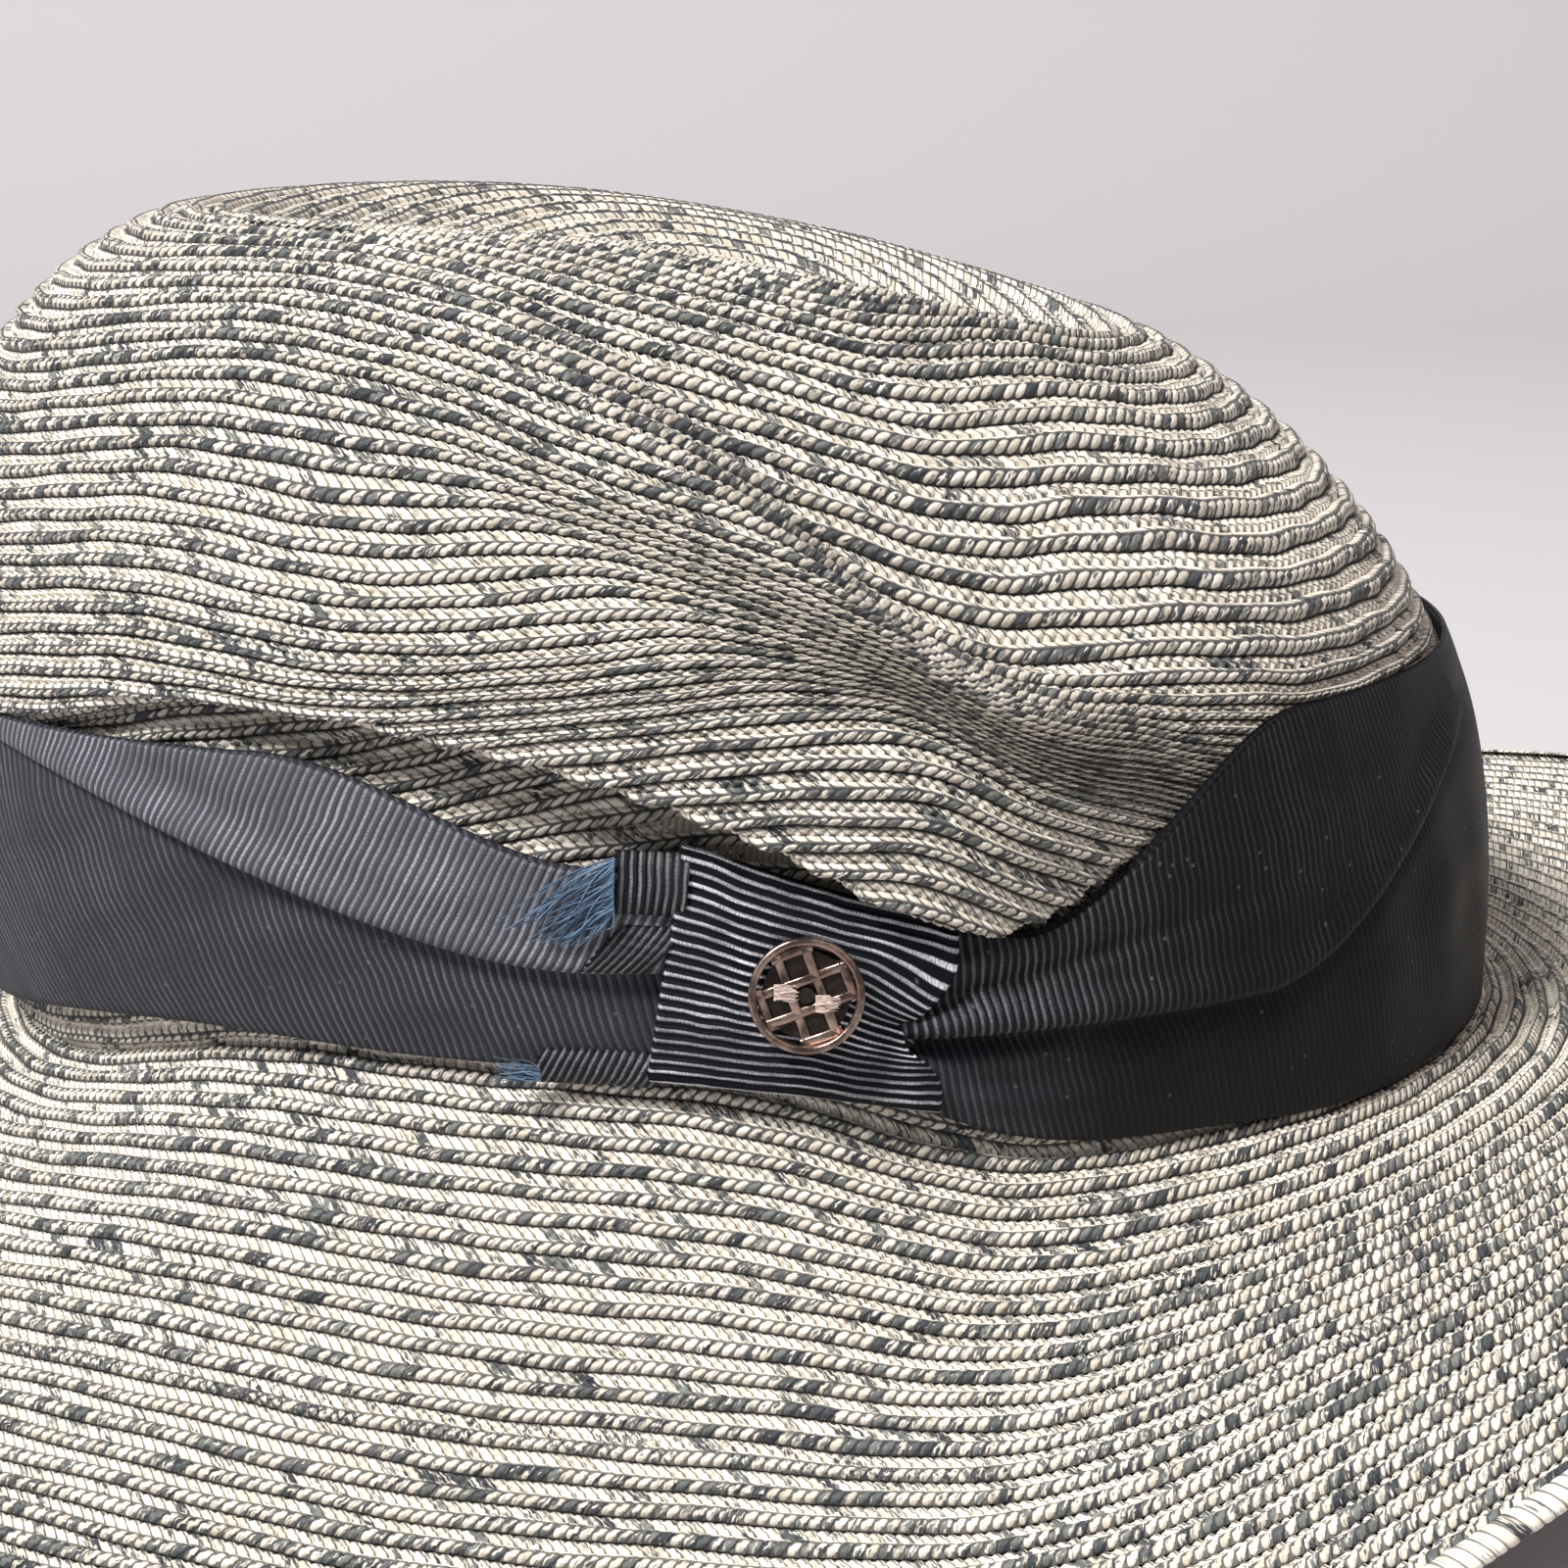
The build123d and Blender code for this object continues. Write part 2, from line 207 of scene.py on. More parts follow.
def drift_grid(nt=721, nr=305, high=152.0):
    """Share of the crown's height each row really runs at, round the crown; rows crowd together in the crease."""
    r = np.linspace(0, high, nr)
    crowd = 1 - 0.26 * (1 - sm(r, 28, 42)) + 2.3 * sm(r, 50, 58) * (1 - sm(r, 61, 70)) - 0.16 * sm(r, 70, 80) * (1 - sm(r, 92, 108))
    count = np.concatenate([[0], np.cumsum((crowd[1:] + crowd[:-1]) / 2)])
    xs = np.linspace(-A, A, 400)
    mid, dx = int(np.argmin(np.abs(xs - 8))), xs[1] - xs[0]
    out = np.zeros((len(xs), nr))
    out[mid] = np.interp(r, count * high / count[-1], r)
    for i in range(mid, len(xs) - 1):
        out[i + 1] = out[i] + row_slope(xs[i], out[i]) * dx
    for i in range(mid, 0, -1):
        out[i - 1] = out[i] - row_slope(xs[i], out[i]) * dx
    # away from the fold the rows settle back to an even width, those below the roll's crest and those above it
    out = np.maximum.accumulate(np.clip(out, 0, high), axis=1)
    crest = np.array([crest_line(x) for x in xs])
    start = np.array([np.interp(c, o + 1e-6 * r, r) for c, o in zip(crest, out)])[:, None]
    crest = crest[:, None]
    even = np.where(r < start, r / start * crest, crest + (r - start) / (high - start) * (high - crest))
    settle = (0.75 * (1 - sm(xs, -70, -20)) + 0.25 * sm(xs, 24, 80))[:, None]
    out = np.maximum.accumulate(out * (1 - settle) + even * settle, axis=1) / high
    th = np.linspace(0, 2 * np.pi, nt)
    side = (A * np.cos(th) + A) / (2 * A) * (len(xs) - 1)
    i = np.clip(side.astype(int), 0, len(xs) - 2)
    front = out[i] * (1 - (side - i))[:, None] + out[i + 1] * (side - i)[:, None]
    turn = sm(th, 0, np.pi)[:, None]
    back = out[-1] * (1 - turn) + out[0] * turn
    grid = np.where((th < np.pi)[:, None], back, front)
    grid[:, 0], grid[:, -1] = 0, 1
    return grid.T[..., None]


def brim_grid(nt=721, ns=345):
    th = np.radians(np.linspace(0, 360, nt))[None]
    s = np.linspace(0, BRIM_W, ns)[:, None]
    d = np.degrees(th)
    q = s / BRIM_W
    w1, w2 = sm(q, 0.05, 0.35), sm(q, 0.4, 0.95)
    ang = np.radians(
        around(d, SLOPE_IN) * (1 - w1)
        + (around(d, SLOPE_MID) * (1 - w2) + around(d, SLOPE_OUT) * w2) * w1
    )
    ds = BRIM_W / (ns - 1)

    def total(v):
        return np.vstack([0 * v[:1], np.cumsum((v[1:] + v[:-1]) / 2 * ds, axis=0)])

    r, z = total(np.cos(ang)), -total(np.sin(ang))
    hx, hy, hz = headline(th)
    nx, ny = out_dir(th)
    return np.stack([hx + nx * r, hy + ny * r, hz + z], -1)


def normals(grid):
    """Unit normals of a closed (share, angle) grid, outward and up."""
    du = np.gradient(grid[:, :-1], axis=1)
    du[:, 0] = (grid[:, 1] - grid[:, -2]) / 2
    du[:, -1] = (grid[:, 0] - grid[:, -3]) / 2
    dv = np.gradient(grid[:, :-1], axis=0)
    n = np.cross(du, dv)
    n /= np.maximum(np.linalg.norm(n, axis=-1, keepdims=True), 1e-9)
    return np.concatenate([n, n[:, :1]], 1)


tt, qq = np.meshgrid(np.radians(np.linspace(0, 360, 1081)), np.linspace(0, 1, 721))
CROWN = crown_fold(tt, qq)
DRIFT = drift_grid()
CROWN_N = normals(CROWN)
BRIM = brim_grid()
BRIM_N = -normals(BRIM)


def shell(th, row):
    """Middle surface and normal at an angle and a row count from the crown's centre."""
    q = lookup(DRIFT, th, 1 - row / ROWS_CROWN)[..., 0]
    s = (row - ROWS_CROWN) / ROWS_BRIM
    on_brim = (row > ROWS_CROWN)[..., None]
    p = np.where(on_brim, lookup(BRIM, th, s), lookup(CROWN, th, q))
    n = np.where(on_brim, lookup(BRIM_N, th, s), lookup(CROWN_N, th, q))
    return p, n / np.maximum(np.linalg.norm(n, axis=-1, keepdims=True), 1e-9)


# ---------------------------------------------------------------- mesh helpers
def build(name, verts, quads, uvs=None, smooth=True):
    """A mesh object from arrays in millimetres; uvs is {layer: (vertex uv)}."""
    me = bpy.data.meshes.new(name)
    v = (np.asarray(verts, float).reshape(-1, 3) + SHIFT) * 0.001
    q = np.asarray(quads, np.int32).reshape(-1, 4)
    me.vertices.add(len(v))
    me.vertices.foreach_set("co", v.ravel())
    me.loops.add(q.size)
    me.loops.foreach_set("vertex_index", q.ravel())
    me.polygons.add(len(q))
    me.polygons.foreach_set("loop_start", np.arange(0, q.size, 4, dtype=np.int32))
    me.update(calc_edges=True)
    for layer, uv in (uvs or {}).items():
        data = me.uv_layers.new(name=layer).data
        data.foreach_set("uv", np.asarray(uv, float).reshape(-1, 2)[q.ravel()].ravel())
    if smooth:
        me.polygons.foreach_set("use_smooth", np.ones(len(q), bool))
    ob = bpy.data.objects.new(name, me)
    bpy.context.scene.collection.objects.link(ob)
    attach(ob, "root")
    return ob


def grid_quads(rows, cols, start=0, flip=False):
    i = np.arange(rows - 1)[:, None] * cols + np.arange(cols - 1)[None] + start
    order = (0, cols, cols + 1, 1) if flip else (0, 1, cols + 1, cols)
    return np.stack([i + k for k in order], -1).reshape(-1, 4)


# ---------------------------------------------------------------- materials
def material(name, color=(0.5, 0.5, 0.5), rough=0.6, metal=0.0, sheen=0.0, tint=None):
    m = bpy.data.materials.new(name)
    m.use_nodes = True
    p = m.node_tree.nodes["Principled BSDF"]
    p.inputs["Base Color"].default_value = (*color, 1)
    p.inputs["Roughness"].default_value = rough
    p.inputs["Metallic"].default_value = metal
    p.inputs["Sheen Weight"].default_value = sheen
    if tint:
        p.inputs["Sheen Tint"].default_value = (*tint, 1)
    return m


class Net:
    """Short hand for node trees: every call adds a node and gives its output."""

    def __init__(self, mat):
        self.t = mat.node_tree
        self.bsdf = self.t.nodes["Principled BSDF"]

    def put(self, socket, value):
        if isinstance(value, bpy.types.NodeSocket):
            self.t.links.new(value, socket)
        else:
            socket.default_value = value

    def math(self, op, a, b=0.0, c=None):
        n = self.t.nodes.new("ShaderNodeMath")
        n.operation = op
        self.put(n.inputs[0], a)
        self.put(n.inputs[1], b)
        if c is not None:
            self.put(n.inputs[2], c)
        return n.outputs[0]

    def uv(self, layer):
        n = self.t.nodes.new("ShaderNodeUVMap")
        n.uv_map = layer
        s = self.t.nodes.new("ShaderNodeSeparateXYZ")
        self.t.links.new(n.outputs[0], s.inputs[0])
        return s.outputs[0], s.outputs[1]

    def vec(self, x, y, z=0.0):
        n = self.t.nodes.new("ShaderNodeCombineXYZ")
        for k, v in enumerate((x, y, z)):
            self.put(n.inputs[k], v)
        return n.outputs[0]

    def white(self, vector):
        n = self.t.nodes.new("ShaderNodeTexWhiteNoise")
        n.noise_dimensions = "3D"
        self.t.links.new(vector, n.inputs["Vector"])
        return n.outputs["Value"], n.outputs["Color"]

    def noise(self, vector, scale=1.0, detail=2.0, rough=0.5):
        n = self.t.nodes.new("ShaderNodeTexNoise")
        self.t.links.new(vector, n.inputs["Vector"])
        n.inputs["Scale"].default_value = scale
        n.inputs["Detail"].default_value = detail
        n.inputs["Roughness"].default_value = rough
        return n.outputs[0]

    def ramp(self, x, lo, hi, a=0.0, b=1.0, kind="SMOOTHSTEP"):
        n = self.t.nodes.new("ShaderNodeMapRange")
        n.interpolation_type = kind
        for k, v in enumerate((x, lo, hi, a, b)):
            self.put(n.inputs[k], v)
        return n.outputs[0]

    def mix(self, fac, a, b, mode="MIX"):
        n = self.t.nodes.new("ShaderNodeMix")
        n.data_type = "RGBA"
        n.blend_type = mode
        self.put(n.inputs[0], fac)
        self.put(n.inputs[6], a if not isinstance(a, tuple) else (*a, 1))
        self.put(n.inputs[7], b if not isinstance(b, tuple) else (*b, 1))
        return n.outputs[2]

    def pick(self, fac, a, b):
        """a where fac is 0, b where it is 1, for numbers."""
        n = self.t.nodes.new("ShaderNodeMix")
        n.data_type = "FLOAT"
        for k, v in zip((0, 2, 3), (fac, a, b)):
            self.put(n.inputs[k], v)
        return n.outputs[0]

    def bump(self, height, distance, strength=1.0):
        n = self.t.nodes.new("ShaderNodeBump")
        n.inputs["Strength"].default_value = strength
        n.inputs["Distance"].default_value = distance
        self.t.links.new(height, n.inputs["Height"])
        self.t.links.new(n.outputs[0], self.bsdf.inputs["Normal"])


CORD = 0.42  # share of a row taken by its small upper cord; the raised rope has the rest
LEAN_CORD, LEAN_ROPE = 0.85, 1.25  # how far a stitch leans along the row, in stitches


def braid_material(name):
    m = material(name, rough=0.70, sheen=0.10, tint=(1.0, 0.97, 0.92))
    n = Net(m)
    u, v = n.uv("braid")
    row, r = n.math("FLOOR", v), n.math("FRACT", v)
    rope = n.math("GREATER_THAN", r, CORD)
    tc = n.math("MULTIPLY_ADD", r, 2 / CORD, -1.0)
    tr = n.math("MULTIPLY_ADD", r, 2 / (1 - CORD), -(1 + CORD) / (1 - CORD))
    bend = n.math("MULTIPLY_ADD", n.math("POWER", n.math("ABSOLUTE", tr), 3.0), n.math("MULTIPLY", n.math("SIGN", tr), 0.22), tr)
    wc = n.math("MULTIPLY_ADD", tc, LEAN_CORD / 2, n.math("ADD", u, 0.4))
    wr = n.math("MULTIPLY_ADD", bend, -LEAN_ROPE / 2, u)
    w = n.pick(rope, wc, wr)
    one, f = n.math("FLOOR", w), n.math("FRACT", w)
    lane = n.math("MULTIPLY_ADD", row, 2.0, rope)
    rnd, col = n.white(n.vec(one, lane, 3.3))
    sep = n.t.nodes.new("ShaderNodeSeparateColor")
    n.t.links.new(col, sep.inputs[0])
    r2, r3 = sep.outputs[1], sep.outputs[2]
    # dark yarn comes in runs along a row, and in loose patches over the hat
    run = n.noise(n.vec(n.math("MULTIPLY", w, 0.21), n.math("MULTIPLY", lane, 7.13), 1.7), 1.0, 2.0)
    patch = n.noise(n.vec(n.math("MULTIPLY", u, 0.03), n.math("MULTIPLY", v, 0.14), 9.1), 1.0, 2.0)
    amount = n.math("MULTIPLY_ADD", patch, 0.9, n.math("MULTIPLY", run, 1.2))
    amount = n.math("ADD", amount, n.pick(rope, -0.71, -0.93))
    # strands of one stitch
    strand = n.noise(n.vec(n.math("MULTIPLY", w, 6.0), n.math("MULTIPLY", r, 1.6), n.math("MULTIPLY", lane, 3.7)), 1.0, 3.0, 0.65)
    fleck = n.noise(n.vec(n.math("MULTIPLY", w, 2.6), n.math("MULTIPLY", r, 3.1), n.math("MULTIPLY", lane, 5.3)), 1.0, 2.0, 0.6)
    edge = n.math("MULTIPLY_ADD", n.math("SUBTRACT", fleck, 0.5), 2.5, n.math("SUBTRACT", amount, rnd))
    dark = n.ramp(edge, -0.10, 0.16)
    cream = n.mix(r2, (0.66, 0.595, 0.50), (0.93, 0.87, 0.775))
    ink = n.mix(r3, (0.020, 0.026, 0.038), (0.18, 0.195, 0.185))
    marl = n.math("MULTIPLY", n.ramp(strand, 0.54, 0.64), n.ramp(r3, 0.25, 0.9, 0.0, 0.9))
    cream = n.mix(marl, cream, (0.17, 0.19, 0.18))
    ink = n.mix(n.math("MULTIPLY", n.ramp(strand, 0.42, 0.32), 0.5), ink, (0.46, 0.45, 0.40))
    colour = n.mix(dark, cream, ink)
    # painted shade: each stitch is a rounded lump, painted dark round its edge and in the gaps between stitches
    across = n.math("MULTIPLY_ADD", f, 2.0, -1.0)
    across = n.math("ABSOLUTE", across)
    ec = n.math("ADD", n.math("POWER", n.math("DIVIDE", across, 0.88), 2.4), n.math("POWER", n.math("ABSOLUTE", n.math("DIVIDE", tc, 0.90)), 3.0))
    er = n.math("ADD", n.math("POWER", n.math("DIVIDE", across, 0.96), 6.0), n.math("POWER", n.math("ABSOLUTE", n.math("DIVIDE", tr, 0.92)), 3.4))
    bead_edge_shade = n.pick(rope, n.ramp(ec, 1.05, 0.60), n.ramp(er, 1.06, 0.50))
    # painted light: the brim is lit from above, so its painted gap shade is shallower and its braid is painted lighter
    brim = n.ramp(v, ROWS_CROWN - 2, ROWS_CROWN + 4)
    # floor of the painted shade: the cord's gaps are painted darker than the rope's
    floor = n.math("MULTIPLY_ADD", brim, 0.09, n.pick(rope, 0.07, 0.15))
    shade = n.math("ADD", n.math("MULTIPLY", bead_edge_shade, n.math("SUBTRACT", 1.0, floor)), floor)
    # the strands vary the fibre tone as well
    shade = n.math("MULTIPLY", shade, n.ramp(strand, 0.3, 0.7, 0.66, 1.14))
    # painted shade: the recessed cord is painted darker than the raised rope
    shade = n.math("MULTIPLY", shade, n.pick(rope, 0.88, 1.06))
    # painted light: the brim painted lighter
    shade = n.math("MULTIPLY", shade, n.math("MULTIPLY_ADD", brim, 0.17, 1.0))
    # the painted shade darkens the colour toward this near-black
    colour = n.mix(shade, (0.010, 0.012, 0.020), colour, "MIX")
    n.t.links.new(colour, n.bsdf.inputs["Base Color"])
    dome = n.math("SQRT", n.math("MAXIMUM", n.math("SUBTRACT", 1.0, n.pick(rope, ec, er)), 0.0))
    height = n.math("MULTIPLY_ADD", strand, 0.45, dome)
    n.bump(height, 0.00034, 1.0)
    return m


def relief(u, r, near):
    """Height in mm of the braid at stitch count u and share r of the row."""
    tc = 2 * r / CORD - 1
    tr = (2 * r - 1 - CORD) / (1 - CORD)
    rope = r > CORD
    w = np.where(rope, u - LEAN_ROPE / 2 * (tr + 0.22 * tr**3), u + 0.4 + LEAN_CORD / 2 * tc)
    f = np.abs(2 * (w - np.floor(w)) - 1)
    fc, fr = near * f + (1 - near) * 0.5, near * f + (1 - near) * 0.6
    ec = (fc / 0.95) ** 2.4 + (np.abs(tc) / 1.02) ** 3
    small = -0.66 + 0.72 * np.sqrt(np.clip(1 - ec, 0, 1))
    big = -0.52 + 1.26 * np.sqrt(np.clip(1 - tr * tr / 1.04, 0, 1)) * (0.50 + 0.50 * np.sqrt(np.clip(1 - fr**2.6, 0, 1)))
    return np.where(rope, big, small)


def wander(th, row):
    """Uneven sewing: how far a row strays, in rows."""
    a = np.sin(9 * th + 1.7 * row) + np.sin(23 * th - 2.9 * row + 1) + np.sin(41 * th + 0.8 * row + 2)
    return 0.028 * a * sm(row, 3, 9)


def angles(near, far):
    """Angles once round, close together on the trimmed side."""
    a = np.linspace(185, 352, near, endpoint=False)
    b = np.linspace(352, 545, far, endpoint=False)
    return np.radians(np.concatenate([a, b, [545]]))


RUN = {"u": 0.0}  # stitches used up so far by the one long braid


def braid_rows(name, first, last, near, far, mat, replaces, limit=99.0):
    """Rows first..last of the spiral of braid, as real relief."""
    th = angles(near, far)
    close = (sm(np.degrees(th), 185, 191) * (1 - sm(np.degrees(th), 346, 352)))[:, None]
    r = ROW_CUTS
    across = len(r)
    verts, uvs, atlas, quads = [], [], [], []
    count = 0
    for k in range(int(math.ceil(last - first))):
        row0 = first + k + (np.degrees(th) - 185) / 360
        rr = row0[:, None] + r[None]
        rr = np.clip(rr + wander(th[:, None], rr), 0.02, limit)
        tg = np.repeat(th[:, None], across, 1)
        p, n = shell(tg, rr)
        mid = p[:, across // 2]
        step = np.linalg.norm(np.diff(mid, axis=0), axis=-1)
        u = RUN["u"] + np.concatenate([[0], np.cumsum(step)]) / (STITCH if first < 60 else BRIM_STITCH)
        RUN["u"] = u[-1]
        ug = np.repeat(u[:, None], across, 1)
        h = relief(ug, np.broadcast_to(r, ug.shape), close)
        verts.append((p + n * h[..., None]).reshape(-1, 3))
        vg = first + k + 0.0005 + np.broadcast_to(r * 0.999, ug.shape)
        uvs.append(np.stack([ug, vg], -1).reshape(-1, 2))
        atlas.append(np.stack([np.broadcast_to(((np.degrees(th) - 185) / 360)[:, None], ug.shape),
                               (vg - first) / max(1.0, math.ceil(last - first))], -1).reshape(-1, 2))
        quads.append(grid_quads(len(th), across, count))
        count += len(th) * across
    ob = build(name, np.concatenate(verts), np.concatenate(quads),
               {"braid": np.concatenate(uvs), "OFBake": np.concatenate(atlas) * 0.998 + 0.001})
    ob.data.materials.append(mat)
    if replaces:
        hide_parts(*replaces)
    return ob


braid = braid_material("sewn_braid")
QUAL = 1.0
ROW_CUTS = np.array([0, 0.07, 0.20, 0.31, 0.41, 0.44, 0.52, 0.67, 0.82, 0.93, 1.0])


def n_of(k):
    return max(8, int(k * QUAL))


braid_rows("crown_tip_rows", -0.6, 24.4, n_of(420), n_of(260), braid, ["crown_tip", "crown_start_coil"])
braid_rows("crown_side_upper_rows", 24.4, 43.4, n_of(900), n_of(360), braid, ["crown_side"])
braid_rows("crown_side_lower_rows", 43.4, 61.4, n_of(980), n_of(360), braid, None)
braid_rows("brim_inner_rows", 61.4, 74.4, n_of(1300), n_of(460), braid, ["brim_braid"])
braid_rows("brim_outer_rows", 74.4, 88.4, n_of(1400), n_of(560), braid, None, 88.2)

# The brim's folded edge row, from its top round to its underside
th = angles(n_of(1300), n_of(700))
turn = np.radians(np.linspace(95, -95, 11))[None]
tg = np.repeat(th[:, None], turn.shape[1], 1)
seat = (BRIM_W - 2.6) / BRIM_W * ROWS_BRIM + ROWS_CROWN
p, n = shell(tg, np.full_like(tg, seat))
p2, _ = shell(tg, np.full_like(tg, seat + 0.3))
out = (p2 - p) / np.linalg.norm(p2 - p, axis=-1, keepdims=True)
step = np.linalg.norm(np.diff(p[:, 5], axis=0), axis=-1)
u = np.repeat((np.concatenate([[0], np.cumsum(step)]) / BRIM_STITCH)[:, None], 11, 1)
r = np.broadcast_to(np.linspace(0.02, 0.98, 11)[None], u.shape)
fat = 1.35 + 0.35 * relief(u, r * 0.55 + 0.45, 1.0)
p = p + out * (np.cos(turn) * (fat + 0.7) - 0.1)[..., None] + n * (np.sin(turn) * fat)[..., None]
uv = np.stack([u, 90 + r * 0.54 + 0.455], -1)
ob = build("brim_edge_braid", p, grid_quads(len(th), 11), {"braid": uv, "OFBake": np.stack([(tg - th[0]) / 6.29, r], -1)})
ob.data.materials.append(braid)
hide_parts("brim_edge_row")

# The braid's back: the crown's lining side and the brim's underside, one surface
rows = np.linspace(0.05, 88.3, n_of(354))
th = np.radians(np.linspace(0, 360, n_of(420)))
tg, rg = np.meshgrid(th, rows)
p, n = shell(tg, rg)
r = rg - np.floor(rg)
u = tg * (12 + 1.2 * rg) * 1.4
p = p - n * (1.35 + 0.35 * np.sin(np.pi * r) ** 2)[..., None]
ob = build("braid_underside", p, grid_quads(len(rows), len(th)), {"braid": np.stack([u, rg + 200], -1),
           "OFBake": np.stack([tg / 6.2832, rg / 89], -1) * 0.998 + 0.001})
ob.data.materials.append(braid)

# ---------------------------------------------------------------- ribbon
BASE_N = normals(BASE)
RIBBON_W = 50.0  # the ribbon's full width
PULL_LEFT, PULL_BOW = 12.0, 9.6  # how far the gathers pull its top edge down, left of the bow and across it


def top_edge(x):
    """Height of the ribbon's top edge: pulled down towards the bow, back to full width past it."""
    pulled = PULL_LEFT * sm(x, -50, -14) + PULL_BOW * np.clip((x + 14) / 47, 0, 1)
    return RIBBON_W - pulled + (PULL_LEFT + PULL_BOW) * sm(x, 30, 69)
# lower edges of the two folded-over layers, on the same scale
FOLD_END, FOLD_BOW, FOLD_RISE = 26.0, 17.4, 29.0


def fold_left_edge(x):
    return RIBBON_W - (RIBBON_W - FOLD_END) * sm(x, -96, -14)


def fold_right_edge(x):
    return FOLD_BOW + FOLD_RISE * sm(x, 60, 104)


def wall(th, t, off):
    """The plain crown wall at arc length t above the headline, off outward."""
    q = t / crown_len(th)
    p, n = lookup(BASE, th, q), lookup(BASE_N, th, q)
    n = n / np.linalg.norm(n, axis=-1, keepdims=True)
    return p + n * np.asarray(off)[..., None], n


def at_x(x):
    return 2 * np.pi - np.arccos(np.clip(np.asarray(x, float) / A, -1, 1))


def t_of(th, z):
    """The arc length at which the wall reaches a height."""
    lo, hi = np.zeros_like(z), np.full_like(z, 80.0)
    for _ in range(24):
        mid = (lo + hi) / 2
        low = wall(th, mid, np.zeros_like(mid))[0][..., 2] < z
        lo, hi = np.where(low, mid, lo), np.where(low, hi, mid)
    return lo


def band_low(th):
    x, y, _ = headline(th)
    side = sm(-y / B, 0.0, 0.25)
    rise = 2.2 * np.exp(-(((x - 20) / 14) ** 2)) + 7.0 * np.exp(-(((x + 84) / 26) ** 2)) - 2.0 * np.exp(-(((x - 76) / 20) ** 2))
    return 2.2 + side * rise


def band_high(th):
    x, y, z = headline(th)
    near = sm(-y / B, 0.1, 0.4)
    return 50 * (1 - near) + (top_edge(x) - (z - ZH)) * near


def ripple(u, v, seed):
    """Soft uneven cloth: a few seeded waves, about -1 to 1."""
    g = np.random.default_rng(seed)
    out = 0
    for k in range(7):
        a, size, ph = g.uniform(0, np.pi), g.uniform(9, 34), g.uniform(0, 6.28)
        out = out + np.sin((u * np.cos(a) + v * np.sin(a)) * 6.28 / size + ph)
    return out / 3.2


def cloth(name, p, n, thick, uv, mat, ring=False, lift=0.0):
    """A closed thin sheet about a middle grid p, with its edges rounded over."""
    rows, cols = p.shape[:2]
    edge = np.ones((rows, cols))
    edge[[0, -1]] = 0.3
    if not ring:
        edge[:, [0, -1]] = 0.3
    half = (thick / 2 * edge)[..., None]
    face = p + n * (half + np.asarray(lift)[..., None] * edge[..., None])
    back = p - n * half
    m = rows * cols
    quads = [grid_quads(rows, cols), grid_quads(rows, cols, m, True)]
    i = np.arange(cols - 1)
    for k, flip in ((0, False), (rows - 1, True)):
        q = np.stack([k * cols + i, k * cols + i + 1, m + k * cols + i + 1, m + k * cols + i], -1)
        quads.append(q[:, ::-1] if flip else q)
    if not ring:
        j = np.arange(rows - 1) * cols
        for k, flip in ((0, True), (cols - 1, False)):
            q = np.stack([j + k, j + k + cols, m + j + k + cols, m + j + k], -1)
            quads.append(q[:, ::-1] if flip else q)
    quads = np.concatenate(quads)[:, ::-1]
    ob = build(name, np.concatenate([face.reshape(-1, 3), back.reshape(-1, 3)]), quads,
               {"rib": np.concatenate([uv.reshape(-1, 2)] * 2)})
    ob.data.materials.append(mat)
    return ob


